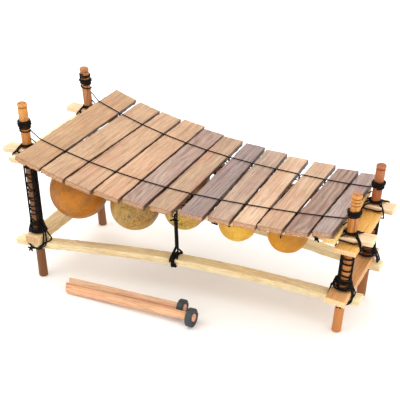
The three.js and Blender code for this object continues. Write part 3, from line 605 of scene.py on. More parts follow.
@dataclass(frozen=True)
class Timber:
    """A wood finish: pale and dark wood, streaks between them, worn edges, a darker foot, painted shade on the sides,
    and how rough and glossy it is.

    Colours are six hex digits.
    """

    name: str
    pale: str
    dark: str
    grain: Grain
    vein: str
    worn: str
    end: str
    chip: str = "f0d4a8"
    streak: float = 70.0
    ring: float = 55.0
    warp: float = 0.05
    ring_share: float = 0.35
    vein_share: float = 0.35
    pore_share: float = 0.45
    wear_share: float = 0.6
    rough: float = 0.55
    coat: float = 0.0
    shift: Point = (0.0, 0.0, 0.0)
    stain: str = "965a3c"
    stain_share: float = 0.0
    foot: str = ""
    foot_from: float = 0.16
    foot_span: float = 0.11
    # A tint laid on a board's sides as painted shade, and its share.
    flank: str = ""
    shaded_flank_share: float = 0.9

    def build(self, effects: Effects) -> Material:
        """Make the material.

        The base blends dark to pale wood by streaks and rings. Veins are the lowest streaks, pores darken it in short
        dashes, worn edges show bare pale wood, and end grain shows on the sawn ends. On the keys the worn tint is dark,
        partly wear and partly painted shade of the gaps between keys; on the post heads it is partly painted highlight.
        A darker foot is stain, and on the bass front post, where it reaches up under the key bed, also painted shade.
        The sides' tint is painted shade.

        Args:
            effects: The shared shader groups.

        Returns:
            The material.
        """
        pale, dark = linear(self.pale), linear(self.dark)
        made, tree, shader = material(self.name, pale)
        place = tree.place()
        squeeze, turn = self.grain.value
        squeezed = tree.add("Mapping", Vector=place, Location=self.shift, Scale=squeeze, Rotation=turn).outputs[0]
        figure = tree.add("Group", _node_tree=effects.figure, Vector=squeezed, Streak=self.streak, Ring=self.ring,
                          Warp=self.warp).outputs
        body = tree.math("ADD", tree.math("MULTIPLY", figure["Streaks"], 1.0 - self.ring_share),
                         tree.math("MULTIPLY", figure["Rings"], self.ring_share))
        between = tuple(d + (p - d) * 0.55 for d, p in zip(dark, pale))
        colour = tree.ramp(tree.spread(body, 0.28, 0.72), [(0.0, dark), (0.45, between), (1.0, pale)])
        colour = tree.stained(colour, figure["Streaks"], 0.42, 0.33, self.vein_share, self.vein)
        fibre = tree.spread(figure["Fibres"], 0.36, 0.64, 0.82, 1.14)
        broad = tree.spread(tree.noise(place, 13.0, 2.0), 0.35, 0.65, 0.92, 1.06)
        colour = tree.shade(colour, tree.math("MULTIPLY", fibre, broad))
        patch = tree.noise(tree.stretch(squeezed, 9.0), 16.0, 4.0, 0.6, 0.8)
        colour = tree.stained(colour, patch, 0.48, 0.66, self.stain_share, self.stain)
        colour = tree.over(colour, figure["Pores"], self.pore_share, self.vein)
        # Darker towards the post's foot: stain; on the bass front post it reaches up under the key bed, where it is
        # also painted shade.
        if self.foot:
            height = tree.add("SeparateXYZ", Vector=place).outputs["Z"]
            ragged = tree.math("ADD", height, tree.spread(tree.noise(place, 60.0), 0.0, 1.0, -0.03, 0.03))
            colour = tree.stained(colour, ragged, self.foot_from, self.foot_from - self.foot_span, 0.85, self.foot)
        ends = tree.value("end")
        stops = (0.36, self.vein), (0.47, self.end), (0.56, self.end), (0.66, self.chip)
        grit = tree.ramp(tree.noise(place, 480.0, 5.0, 0.75), [(at, linear(tint)) for at, tint in stops])
        colour = tree.mix(tree.spread(ends, 0.3, 0.7, 0.0, 0.85), colour, grit)
        # Worn edges: on the keys a dark tint that is partly wear and partly painted shade of the gaps between keys; on
        # the post heads a pale tint that is partly rubbed wood and partly painted highlight.
        worn = tree.add("Group", _node_tree=effects.wear, Vector=place, Wear=tree.value("wear")).outputs["Mask"]
        colour = tree.over(colour, worn, self.wear_share, self.worn)
        # The sides' tint is painted shade.
        if self.flank:
            colour = tree.over(colour, tree.value("flank"), self.shaded_flank_share, self.flank)
        rough = tree.spread(figure["Fibres"], 0.3, 0.7, self.rough + 0.1, self.rough - 0.08)
        tree.join(shader, Base_Color=colour, Roughness=rough, Specular_IOR_Level=0.35, Coat_Weight=self.coat,
                  Coat_Roughness=0.3, Normal=tree.bump(figure["Height"], 0.55, 0.0006))
        return made


@dataclass(frozen=True)
class GourdSkin:
    """A gourd finish: its ground colour, blotches, brown stains, dark freckles and how much of each."""

    name: str
    ground: str
    blotch: str
    freckle: str = "463e32"
    stain: str = "966028"
    stain_share: float = 0.55
    blotch_share: float = 0.5
    freckle_share: float = 0.0
    shift: Point = (0.0, 0.0, 0.0)

    def build(self) -> Material:
        """Make the material: ground, blotches and stains by broad noise, freckles by fine noise, a dull sheen."""
        made, tree, shader = material(self.name, linear(self.ground))
        moved = tree.add("Mapping", Vector=tree.place(), Location=self.shift).outputs[0]
        broad = tree.noise(moved, 26.0, 4.0, 0.6, 0.7)
        colour = tree.stained(linear(self.ground), broad, 0.38, 0.66, self.blotch_share, self.blotch)
        colour = tree.shade(colour, tree.spread(tree.noise(moved, 150.0, 5.0, 0.7), 0.3, 0.7, 0.86, 1.1))
        patch = tree.noise(moved, 13.0, 5.0, 0.62, 0.9)
        colour = tree.stained(colour, patch, 0.46, 0.66, self.stain_share, self.stain)
        speck = tree.math("MULTIPLY", tree.spread(tree.noise(moved, 240.0, 5.0, 0.75, 0.5), 0.49, 0.57),
                          tree.spread(tree.noise(moved, 40.0, 2.0), 0.36, 0.56))
        colour = tree.over(colour, speck, self.freckle_share, self.freckle)
        for name, share, tint in (("wear", 0.7, "e1be82"), ("inside", 0.8, "96734b")):
            colour = tree.over(colour, tree.value(name), share, tint)
        tree.join(shader, Base_Color=colour, Roughness=tree.spread(broad, 0.3, 0.7, 0.36, 0.5), Coat_Weight=0.05,
                  Specular_IOR_Level=0.3, Coat_Roughness=0.35,
                  Normal=tree.bump(tree.noise(moved, 60.0, 3.0), 0.35, 0.0012))
        return made


@dataclass(frozen=True)
class CordSkin:
    """A cord finish: its colour on the strands, a darker colour in their grooves as painted shade, and its sheen."""

    name: str
    strand: str
    # The colour in the grooves between strands, painted shade.
    groove: str
    rough: float = 0.62

    def build(self) -> Material:
        """Make the material: darker grooves from the value "strand" as painted shade, brown dust by noise, and fine
        fibre bump.
        """
        strand = linear(self.strand)
        made, tree, shader = material(self.name, strand)
        place = tree.place()
        # Painted shade in the grooves between strands.
        colour = tree.mix(tree.spread(tree.value("strand"), 0.1, 0.75), linear(self.groove), strand)
        colour = tree.stained(colour, tree.noise(place, 90.0, 4.0, 0.7), 0.55, 0.75, 0.25, "2c1f18")
        rough = tree.spread(tree.noise(place, 400.0), 0.3, 0.7, self.rough - 0.1, self.rough + 0.15)
        tree.join(shader, Base_Color=colour, Roughness=rough, Specular_IOR_Level=0.12,
                  Normal=tree.bump(tree.noise(place, 2200.0, 3.0, 0.7), 0.4, 0.0003))
        return made


@dataclass(frozen=True)
class RubberSkin:
    """The finish of the rubber strip on the mallet heads."""

    name: str
    face: str
    scuff: str

    def build(self) -> Material:
        """Make the material: dark matt rubber with grey scuffs and dust in a fine bump."""
        made, tree, shader = material(self.name, linear(self.face))
        place = tree.place()
        scuffed = tree.spread(tree.noise(place, 260.0, 5.0, 0.75), 0.5, 0.72, 0.0, 0.8)
        tree.join(shader, Base_Color=tree.mix(scuffed, linear(self.face), linear(self.scuff)),
                  Roughness=tree.spread(scuffed, 0.0, 0.8, 0.5, 0.8),
                  Normal=tree.bump(tree.noise(place, 900.0, 4.0, 0.7), 0.5, 0.0005))
        return made


# ---------------------------------------------------------------- wooden pieces


def axis_rows(origin: Array, along: Array, across: Array, up: Array) -> Array:
    """Rows of station origins and axes, where an axis may be the same for all."""
    return np.stack(np.broadcast_arrays(origin, along, across, up), 1)


def board(rows: Array, outline: Array, lift: Array | float, seed: int, width: float, height: float,
          hew: float = 0.0006, chip: float = 0.002) -> Surface:
    """A sawn board: a rounded outline carried along straight or bent stations, with uneven faces and chipped ends.

    Each outline point moves out by a ripple of its place, and each end face is pushed in by a ripple that grows towards
    its rim. The end rings shrink over the rim's radius, then over the face to its middle.

    Args:
        rows: Station origins and axes, as stations, 4, 3: origin, along, across, up.
        outline: The section, as x across and y up.
        lift: What is added to each outline point's height, as stations, points.
        seed: Which unevenness.
        width, height: The section's sizes.
        hew: The unevenness of the faces.
        chip: How far the ends are broken in.

    Returns:
        The closed surface with the values "wear", "end" and, on its sides, a mask for painted shade.
    """
    reach, soft = 0.0016, 0.0012  # how far wear reaches from an edge, and the rim's radius
    inset, fade = 0.0014, 0.0008  # where the painted side shade starts inside the edge, and how fast
    origin, along, across, up = np.moveaxis(rows, 1, 0)
    length = run_length(origin)[:, None]
    to_end = np.minimum(length, length[-1] - length)
    x, y = outline.T[:, None]
    wide = 1 + hew / width * 2 * ripple(seed, 0.11, length)
    bumps = hew * ripple(seed + 1, 0.03, length, x * 2, y * 2)
    bite = ripple(seed + 3, 0.012, x, y * 1.6) ** 2 * 0.6 + 0.6 * ripple(seed + 4, 0.005, x, y) ** 2
    bite = bite * (0.35 + 0.9 * np.clip(0.5 - y / height, 0, 1))
    shrink = 1 - (1 - np.sqrt(np.clip(1 - (1 - np.clip(to_end / soft, 0, 1)) ** 2, 0, 1))) * 2 * soft / height
    local_x = x * wide * (1 - (1 - shrink) * height / width) + bumps * np.sign(x)
    local_y = y * shrink + lift + bumps * 0.6 * np.sign(y)
    grid = origin[:, None] + local_x[..., None] * across[:, None] + local_y[..., None] * up[:, None]
    corner = np.exp(-np.hypot(width / 2 - np.abs(x), height / 2 - np.abs(y)) / reach)
    wear = np.maximum(corner, np.exp(-to_end / reach))
    caps = []
    for index, sign in ((0, 1.0), (-1, -1.0)):
        middle = grid[index].mean(0)
        share = np.array([0.93, 0.72, 0.4])[:, None, None]
        inner = middle + (grid[index] - middle)[None] * share
        rough = ripple(seed + 7, 0.009, inner @ across[index], inner @ up[index])
        caps.append(inner + sign * along[index] * (0.2 * chip * rough + chip * bite * share[..., 0] ** 4)[..., None])
    near = np.exp(-to_end / soft)
    sign = np.where(length < length[-1] / 2, 1.0, -1.0)
    grid = grid + (sign * np.exp(-to_end / (1.5 * chip)) * chip * bite)[..., None] * along[:, None]
    rings = np.concatenate([caps[0][::-1], grid, caps[1]])
    # Mask of the sides, fading under the top's rounding, for painted shade.
    flank = np.clip((np.abs(x) - width / 2 + inset) / fade, 0, 1) * np.clip((height / 2 - y) / soft, 0, 1)
    held = {"wear": (0.15, wear), "end": (1.0, near * 0.9 + 0 * x), "flank": (0.0, flank * (1 - near))}
    blank = np.ones((3, len(outline)))
    return capped(rings, {k: np.concatenate([blank * cap, grid, blank * cap]) for k, (cap, grid) in held.items()})


def stations(start: float, stop: float, step: float = 0.008) -> Array:
    """Even stations, with extra ones close to both ends, where edges are rounded."""
    inner = np.linspace(start, stop, max(int((stop - start) / step), 4) + 1)[1:-1]
    inner = inner[(inner > start + 0.005) & (inner < stop - 0.005)]
    near = np.array([0.0, 0.0003, 0.0007, 0.0012, 0.0024, 0.0042])
    return np.unique(np.concatenate([start + near, inner, stop - near]))


@dataclass
class Key:
    """One key: its middle's place and slide, its sizes, and how its edges slant: its skew and taper."""

    number: int
    place: float
    slide: float
    length: float
    width: float
    skew: float
    taper: float
    thickness: float = BED.key_thickness
    arch: float = 0.003
    arch_share: float = 0.2
    dish: float = 0.0005
    corner: float = 0.0016

    @property
    def name(self) -> str:
        """Its node's name."""
        return f"key_{self.number:02d}"

    @property
    def x(self) -> float:
        """Its middle along the instrument."""
        return BED.place(self.place)

    def axes(self) -> tuple[Array, Array]:
        """The directions across its width and up from its face, tilted with the bed."""
        return tilted(BED.tilt(self.x))

    def point(self, along: float, down: float) -> Array:
        """A point on its upright middle plane, along its width and down from its top, as x and z."""
        across, up = self.axes()
        return (vec(self.x, 0.0, BED.top(self.x)) + across * along - up * down)[[0, 2]]

    def edge(self, hand: int, side: int) -> float:
        """How far across its face the left (-1) or right (1) edge lies where a side's cords cross it."""
        along = BED.cord_y(side, self.x) - self.slide
        return hand * (self.width + self.taper * along) / 2 + self.skew * along

    def surface(self) -> Surface:
        """The key as a board whose underside is hollowed: it rises by arch (1 - (y / reach)^2) about its middle.

        Each point then slides across the face by skew times y, and by its place across times taper times y over width.
        """
        y = stations(-self.length / 2, self.length / 2, 0.0055)
        across, up = self.axes()
        middle = vec(self.x, self.slide, BED.top(self.x)) - up * self.thickness / 2
        outline = rounded_outline(self.width, self.thickness, self.corner, flat=13)
        hollow = self.arch * np.clip(1 - (y / (self.length * self.arch_share)) ** 2, 0, 1)
        below = np.clip(0.5 - outline[:, 1] / self.thickness, 0, 1)
        dish = -self.dish * (1 - below)[None] * (0.5 + 0.5 * ripple(self.number * 17, 0.12, y))[:, None]
        made = board(axis_rows(middle + vec(0.0, y, 0.0), ALONG_Y, across, up), outline, hollow[:, None] * below + dish,
                     self.number * 31, self.width, self.thickness, hew=0.00055, chip=0.0055)
        away = made.points - middle
        shift = self.skew * away[:, 1] + away @ across * self.taper * away[:, 1] / self.width
        made.points += shift[:, None] * across
        return made


@dataclass
class Keys:
    """The twelve keys, from the longest at the bass end to the shortest."""

    longest: float = 0.435
    widest: float = 0.0586
    # place, slide, length, width, skew, taper
    rows: tuple[tuple[float, ...], ...] = (
        (0.054, -0.0046, 1, 1, 0, 0), (0.1428, -0.0034, 0.992, 0.936, 0.018, 0.006),
        (0.2275, 0, 0.989, 0.963, 0.012, -0.018), (0.3145, 0.015, 0.986, 0.956, 0.004, -0.008),
        (0.3976, 0.0094, 0.94, 0.855, 0, 0), (0.4781, 0.0117, 0.907, 0.86, -0.013, -0.002),
        (0.5672, 0.0173, 0.872, 0.855, -0.028, -0.015), (0.6497, 0.0156, 0.832, 0.831, -0.035, 0.012),
        (0.7296, 0.0071, 0.795, 0.819, -0.028, 0), (0.8145, 0.0071, 0.777, 0.859, 0.01, -0.009),
        (0.8965, -0.0049, 0.736, 0.822, 0.021, 0.001), (0.9682, 0.0026, 0.692, 0.681, 0.028, -0.003))

    def each(self) -> list[Key]:
        """The keys in order."""
        return [Key(i, place, slide * self.longest, length * self.longest, width * self.widest, skew, taper)
                for i, (place, slide, length, width, skew, taper) in enumerate(self.rows, 1)]

    def finishes(self) -> list[Timber]:
        """The wood of each key: tan at the bass, then grey-mauve, golden and brown by turns."""
        tan = dict(vein="8e6244", ring_share=0.1, stain="b0745a", stain_share=0.4)
        mauve = dict(vein="543e38", ring_share=0.15, vein_share=0.2, stain="926054", stain_share=0.4)
        looks = [
            (tan, "c39e75", "9c7452"), (tan, "c6a27e", "9f7959"), (tan, "caa582", "a17b5c"), (tan, "cba480", "9e7456"),
            (dict(mauve, ring_share=0.2, ring=30.0, warp=0.09), "b39785", "806659"), (tan, "bb9c7c", "88654d"),
            (mauve, "9d877d", "6b5751"), (mauve, "bea088", "90735e"), (dict(tan, vein="9c6c48"), "d7b797", "b38c6b"),
            (tan, "c9a888", "a07a5c"), (dict(mauve, ring_share=0.25, ring=26.0, warp=0.1), "a48673", "6c5143"),
            (mauve, "af998e", "78635b")]
        # The keys' sides take a dark tint as painted shade of the narrow gaps between keys; their dark edge tint is
        # partly wear and partly painted shade of those gaps.
        return [Timber(name=f"key_wood_{i + 1:02d}", pale=pale, dark=dark, grain=Grain.ALONG_Y, streak=150.0,
                       shift=(0.31 * i, 0.07 * i, 0.17 * i), rough=0.5, coat=0.05, flank="462c20", worn="704c38",
                       wear_share=0.5, end="ba8a64", **look)
                for i, (look, pale, dark) in enumerate(looks)]

    def build(self, effects: Effects) -> None:
        """Shape and dress every key."""
        for key, finish in zip(self.each(), self.finishes()):
            show(put(f"{key.name}_wood", key.surface(), finish.build(effects), 50.0), key.name, body=key.name)


def with_holes(piece: Piece, posts: list[Post], low: float, high: float) -> Piece:
    """Cut the post holes through a rail or plank, a gap wider than the posts, and apply the cuts."""
    around, past = circle(ROUND), 0.02
    for post in posts:
        centre = post.axis(np.array([low - past, high + past]))
        reach = (post.radius + GAP) * vec(np.cos(around), np.sin(around), 0)
        cutter = put("cutter", capped(centre[:, None] + reach[None]), piece.data.materials[0])
        cut = piece.modifiers.new("hole", "BOOLEAN")
        cut.operation, cut.solver, cut.object = "DIFFERENCE", "EXACT", cutter
        mesh = bpy.data.meshes.new_from_object(piece.evaluated_get(bpy.context.evaluated_depsgraph_get()))
        piece.modifiers.remove(cut)
        old, piece.data = piece.data, mesh
        mesh.name = piece.name
        bpy.data.meshes.remove(old)
        bpy.data.objects.remove(cutter)
    piece.data.shade_smooth()
    piece.data.set_sharp_from_angle(angle=math.radians(45))
    return piece


@dataclass
class Posts:
    """The four turned posts."""

    knob: float = 0.009
    knob_radius: float = 0.0108
    groove: float = 0.0034
    groove_depth: float = 0.0026
    pitch: float = 0.007
    chamfer: float = 0.0014
    hewing: float = 0.00022
    # How far below the top the paler head starts and where it is full: rubbed wood, and partly painted highlight on the
    # lit head.
    rubbed_and_highlight_from: float = 0.055
    rubbed_and_highlight_full: float = 0.020

    def surface(self, post: Post, seed: int) -> Surface:
        """A turned stick: its radius by height, with a foot chamfer, grooves and a domed knob, and slight hewing."""
        neck = post.height - self.knob
        marks = [(0.0, post.radius - self.chamfer), (self.chamfer, post.radius)]
        for i in reversed(range(post.grooves)):
            top = neck - i * self.pitch
            marks += [(top - self.groove * share, post.radius - self.groove_depth * depth)
                      for share, depth in ((1.0, 0.0), (0.75, 0.8), (0.4, 1.0), (0.0, 0.0))]
        marks += [(neck + 0.002, self.knob_radius), (neck + self.knob * 0.45, self.knob_radius)]
        marks += [(neck + self.knob * (0.45 + 0.55 * math.sin(s * math.pi / 2)),
                   self.knob_radius * math.cos(s * math.pi / 2 * 0.86)) for s in np.linspace(0, 1, 8)[1:]]
        z_marks, r_marks = np.array(marks).T
        z = np.unique(np.concatenate([np.linspace(0, neck, 90), z_marks]))
        radius = np.interp(z, z_marks, r_marks)
        height, around = np.meshgrid(z, circle(ROUND), indexing="ij")
        hewn = self.hewing * ripple(seed, 1.1, np.cos(around), np.sin(around), height * 9)
        reach = radius[:, None] + hewn * (height > 0.004)
        rings = post.axis(z)[:, None] + reach[..., None] * vec(np.cos(around), np.sin(around), 0)
        # Paler towards the head, partly rubbed wood and partly painted highlight; the foot's rim is worn.
        rubbed_and_highlight = ease(height, post.height - self.rubbed_and_highlight_from, post.height - self.rubbed_and_highlight_full) * 0.8
        rubbed_and_highlight += np.exp(-height / 0.0015) * 0.6
        grooved = ease((post.radius - radius)[:, None] * (height > 0.01), 0.0002, 0.0012)
        return capped(rings, {"wear": rubbed_and_highlight * (1 - 0.9 * grooved), "end": (height == 0) * 1.0})

    def build(self, effects: Effects) -> None:
        """Shape and dress the posts: two of them are darker, reddish wood."""
        orange = dict(pale="ca843e", dark="96561e", vein="60361a", pore_share=0.2, worn="eaac58", foot="60391c",
                      vein_share=0.15)
        red = dict(orange, pale="c08450", dark="8a502c", foot="7a4e2e", worn="be8050")
        # On the bass front post the dark foot reaches up to just under the key bed: stain, and painted shade under the
        # bed.
        looks = {"bass_front": dict(orange, foot_from=0.285, foot_span=0.03), "bass_back": red,
                 "treble_front": dict(orange, foot="be7a3e"),
                 "treble_back": dict(red, pale="a65c32", dark="7e4424", foot="8c562c")}
        for i, (key, post) in enumerate(POSTS.items()):
            finish = Timber(name=f"{key}_post_wood", grain=Grain.ALONG_Z, streak=120.0, ring_share=0.2, rough=0.5,
                            shift=(0.2 * i, 0.0, 0.0), wear_share=0.5, end="cda57d", **looks[key])
            show(put(f"{key}_turned_post", self.surface(post, 40 + i), finish.build(effects)), post.name)


@dataclass(frozen=True)
class Lath:
    """A long rail: the word of its name, its ends, section, seed and wood, and the heights that its holes span."""

    word: str
    ends: tuple[float, float]
    width: float
    height: float
    seed: int
    look: dict[str, object]
    holes: tuple[float, float]
    corner: float = 0.0018

    def surface(self, side: int) -> Surface:
        """A lath whose top follows the bed's line: its section is square to y and stands upright."""
        x = stations(*self.ends)
        top, y = (BED.upper_top, BED.upper_y) if self.word == "upper" else (BED.lower_top_at, BED.lower_y)
        origin = vec(x, y(side, x), top(x) - self.height / 2)
        rows = axis_rows(origin, unit(np.gradient(origin, axis=0)), ALONG_Y, UP)
        outline = rounded_outline(self.width, self.height, self.corner, flat=9)
        return board(rows, outline, 0.0, self.seed + side, self.width, self.height, chip=0.0022)


@dataclass
class Rails:
    """The four long rails, each a lath bent to its line, with holes for the posts."""

    upper_ends: tuple[float, float] = (-0.4075, 0.4075)
    lower_ends: tuple[float, float] = (-0.3915, 0.3895)

    def build(self, effects: Effects) -> None:
        """Shape, drill and dress the rails."""
        pale = dict(vein="a07442", worn="faecc8", end="f0d8aa", vein_share=0.3, pore_share=0.25, streak=95.0,
                    ring_share=0.15)
        low = BED.upper_top(BED.flat_start) - BED.upper_thickness
        laths = (
            Lath("upper", self.upper_ends, BED.upper_width, BED.upper_thickness, 60,
                 dict(pale, pale="f4d4ac", dark="d8ae7e", shift=(0.0, 0.3, 0.1)), (low, BED.bass_rail_top)),
            # Lower rails: paler wood than the upper ones, partly painted light against the shade of the key bed above
            # their tops; their sides take a tint of painted shade.
            Lath("lower", self.lower_ends, BED.lower_width, BED.lower_thickness, 70,
                 dict(pale, pale="fff0c0", dark="eccc94", ring=40.0, flank="b09468", shaded_flank_share=0.4),
                 (BED.lower_top - BED.lower_thickness, BED.lower_top)))
        woods = {rail.word: Timber(name=f"{rail.word}_rail_wood", grain=Grain.ALONG_X, **rail.look).build(effects)
                 for rail in laths}
        for word, side in SIDES.items():
            posts = [post for post in POSTS.values() if post.side == side]
            for rail in laths:
                piece = put(f"{rail.word}_{word}_lath", rail.surface(side), woods[rail.word])
                show(with_holes(piece, posts, *rail.holes), f"{rail.word}_{word}_rail")


@dataclass(frozen=True)
class Plank:
    """A plank across an end: its middle, sizes, how far it reaches each way, its front end's skew and its wood."""

    name: str
    x: float
    bottom: float
    width: float
    thickness: float
    front: float
    back: float
    skew: float
    seed: int
    look: dict[str, object]
    corner: float = 0.0016

    def surface(self) -> Surface:
        """A board along y, whose front end is cut askew by moving its stations with the place across."""
        y = stations(-self.front - self.skew / 2, self.back)
        rows = axis_rows(vec(self.x, y, self.bottom + self.thickness / 2), ALONG_Y, np.array([1.0, 0.0, 0.0]), UP)
        outline = rounded_outline(self.width, self.thickness, self.corner, flat=9)
        made = board(rows, outline, 0.0, self.seed, self.width, self.thickness)
        near = np.clip(-made.points[:, 1] / self.front, 0, 1) ** 4
        made.points[:, 1] -= near * self.skew * (made.points[:, 0] - self.x) / self.width
        return made


class Planks:
    """The four end planks and the loose cross stick."""

    def __init__(self) -> None:
        """Set the planks out by place."""
        tan = dict(vein="82522e", ring_share=0.15, vein_share=0.15, pore_share=0.15, end="e8be8c", worn="f4d0a0",
                   streak=85.0)
        thin, seat = 0.010, BED.lower_top + GAP
        bass, treble = (BED.rail_level(POSTS[f"{end}_back"]) - BED.upper_thickness - GAP - thin
                        for end in ("bass", "treble"))
        self.all = {plank.name: plank for plank in (
            Plank("upper_bass", -0.358, bass, 0.043, thin, 0.170, 0.172, 0.004, 80,
                  dict(tan, pale="fcecc4", dark="e8cc98")),
            Plank("upper_treble", 0.36114, treble, 0.044, thin, 0.123, 0.128, 0.005, 82,
                  dict(tan, pale="eab662", dark="d89c46", shift=(0.4, 0.0, 0.0))),
            Plank("lower_bass", -0.34107, seat, 0.034, 0.020, 0.162, 0.156, 0.0, 84,
                  dict(tan, pale="f0d6a2", dark="d4b078", end="b88e68", shift=(0.8, 0.0, 0.0))),
            Plank("lower_treble", 0.34873, seat, 0.043, 0.013, 0.127, 0.118, 0.006, 86,
                  dict(tan, pale="e6ae72", dark="ce9359", end="f6ce9a", shift=(1.2, 0.0, 0.0))))}

    def build(self, effects: Effects) -> None:
        """Shape, drill and dress the planks, then the stick in the box of its node."""
        for name, plank in self.all.items():
            finish = Timber(name=f"{name}_plank_wood", grain=Grain.ALONG_Y, **plank.look)
            piece = put(f"{name}_board", plank.surface(), finish.build(effects))
            posts = [post for post in POSTS.values() if post.end in name]
            show(with_holes(piece, posts, plank.bottom, plank.bottom + plank.thickness), f"{name}_plank")
        low, high = np.array(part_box("treble_spreader"))
        look = dict(streak=110.0, vein_share=0.7, pale="f4ce80", dark="ce964e", vein="784c28", end="f0c878",
                    worn="eccda5", shift=(0.9, 0.0, 0.0))
        stick = Plank("spreader", (low[0] + high[0]) / 2, low[2], high[0] - low[0], high[2] - low[2], -low[1], high[1],
                      0.0, 88, look)
        wood = Timber(name="spreader_wood", grain=Grain.ALONG_Y, **look).build(effects)
        show(put("spreader_stick", stick.surface(), wood), "treble_spreader")


# ---------------------------------------------------------------- cords


def wound(post: Post, core: float, start: float, stop: float, turns: float, angle: float, hand: int, radius: float,
          sway: float = 0.0) -> Array:
    """Turns wound round a post. The height grows evenly with the length run, but for a ripple of the sway.

    Args:
        post: The post.
        core: The radius of what the cord lies on.
        start, stop: The heights of both ends.
        turns: How many turns.
        angle: Where the first turn starts, in radians.
        hand: 1 or -1, the way it winds.
        radius: The cord's radius.
        sway: How far the height strays.

    Returns:
        The route.
    """
    turned = angle + hand * np.linspace(0, TURN * turns, int(turns * 40) + 2)
    flat = ray(turned) * (core + radius + NIP)
    run = run_length(flat)
    share = run / run[-1]
    stray = sway * ripple(int(abs(start) * 1e5) % 997, 5.0, turned) * np.sin(math.pi * share)
    centre = post.axis(start + (stop - start) * share + stray)
    centre[:, :2] += flat
    return centre


@dataclass
class Suspension:
    """The cords that carry the keys, over and under them on both sides, and the hitches between the keys.

    The over cord dips by a share of each gap, and both rise from the outer keys to the bass and the treble post.
    """

    keys: list[Key]
    cord: Cord = Cord(0.0013, lay=0.0055)
    hitch: Cord = Cord(0.0009, lay=0.004, around=7)
    dip: float = 0.3
    over_rise: tuple[float, float] = (0.017, 0.001)
    under_rise: tuple[float, float] = (0.012, 0.006)
    step: float = 0.0011
    hitch_step: float = 0.0009
    waist: float = 0.0016
    waist_reach: float = 0.0011
    waist_pitch: float = 0.0009

    def bed_route(self, side: int, down: float, rise: tuple[float, float], dip: float) -> Array:
        """The route along the keys at a depth from their tops, dipping in each gap, from post to post."""
        edges = np.array([[key.point(key.edge(hand, side), down) for hand in (-1, 1)] for key in self.keys])
        middle = (edges[:-1, 1] + edges[1:, 0]) / 2
        middle[:, 1] -= dip * (edges[1:, 0, 0] - edges[:-1, 1, 0])
        flat = np.concatenate([np.concatenate([edges[:-1], middle[:, None]], 1).reshape(-1, 2), edges[-1]])
        bass, treble = (post for post in POSTS.values() if post.side == side)
        return np.concatenate([self.post_end(bass, flat[0, 1] + rise[0], 1),
                               vec(flat[:, 0], BED.cord_y(side, flat[:, 0]), flat[:, 1]),
                               self.post_end(treble, flat[-1, 1] + rise[1], -1)[::-1]])

    def post_end(self, post: Post, height: float, direction: int) -> Array:
        """Two points where a cord meets a post squarely."""
        reach = post.radius + GAP + np.array([0, 2 * self.cord.radius])
        return post.axis(height) + vec(direction * reach, 0.0, 0.0)

    def hitch_route(self, side: int, left: Key, right: Key) -> Array:
        """A hitch in a gap: two turns up and down round both cords, then two tight turns round their waist."""
        reach = self.cord.radius + NIP
        before, after = left.edge(1, side), right.edge(-1, side)
        high, low = ((left.point(before, down) + right.point(after, down)) / 2
                     for down in (-reach, BED.key_thickness + reach))
        high[1] -= self.dip * (right.point(after, 0)[0] - left.point(before, 0)[0])
        y = BED.cord_y(side, high[0])
        around = self.cord.radius + self.hitch.radius
        angle = np.linspace(0, 2 * TURN, 60)
        middle, half = (high[1] + low[1]) / 2, (high[1] - low[1]) / 2
        up = np.clip(np.sin(angle) * 1.35, -1, 1)
        loop = vec(high[0] + 0.0003 * (angle / math.pi - 2), y + around * np.cos(angle),
                   middle + up * (half + around * np.abs(np.sin(angle))))
        turn = np.linspace(0, 2 * TURN, 40)
        waist = vec(high[0] + self.waist * np.cos(turn), y + (around + self.waist_reach) * np.sin(turn),
                    middle + self.waist_pitch * (turn / math.pi - 2))
        return np.concatenate([loop, waist])

    def build(self, skin: Material) -> None:
        """Lay the four long cords, then tie a hitch in every gap on both sides."""
        reach = self.cord.radius + GAP
        for word, side in SIDES.items():
            for name, down, rise, dip in (("over", -reach, self.over_rise, self.dip),
                                          ("under", BED.key_thickness + reach, self.under_rise, 0.0)):
                line = self.cord.along(self.bed_route(side, down, rise, dip), self.step)
                show(put(f"{word}_{name}_line", line, skin), f"{word}_{name}_cord")
            for left, right in zip(self.keys, self.keys[1:]):
                knot = self.hitch.along(self.hitch_route(side, left, right), self.hitch_step)
                show(put(f"{word}_hitch_{left.number:02d}", knot, skin))


@dataclass(frozen=True)
class Winding:
    """Turns wound on a post's top: the lowest height, how many, their pitch, and loose turns by heights and count."""

    height: float
    turns: float
    pitch: float = 0.0038
    loose: tuple[Point, ...] = ()


WINDINGS = {
    "bass_front": Winding(0.352, 5, loose=((0.3500, 0.3455, 1.4),)),
    "bass_back": Winding(0.370, 3.5, loose=((0.3855, 0.3955, 2.6), (0.3685, 0.3575, 1.2))),
    "treble_front": Winding(0.270, 4), "treble_back": Winding(0.266, 4)}


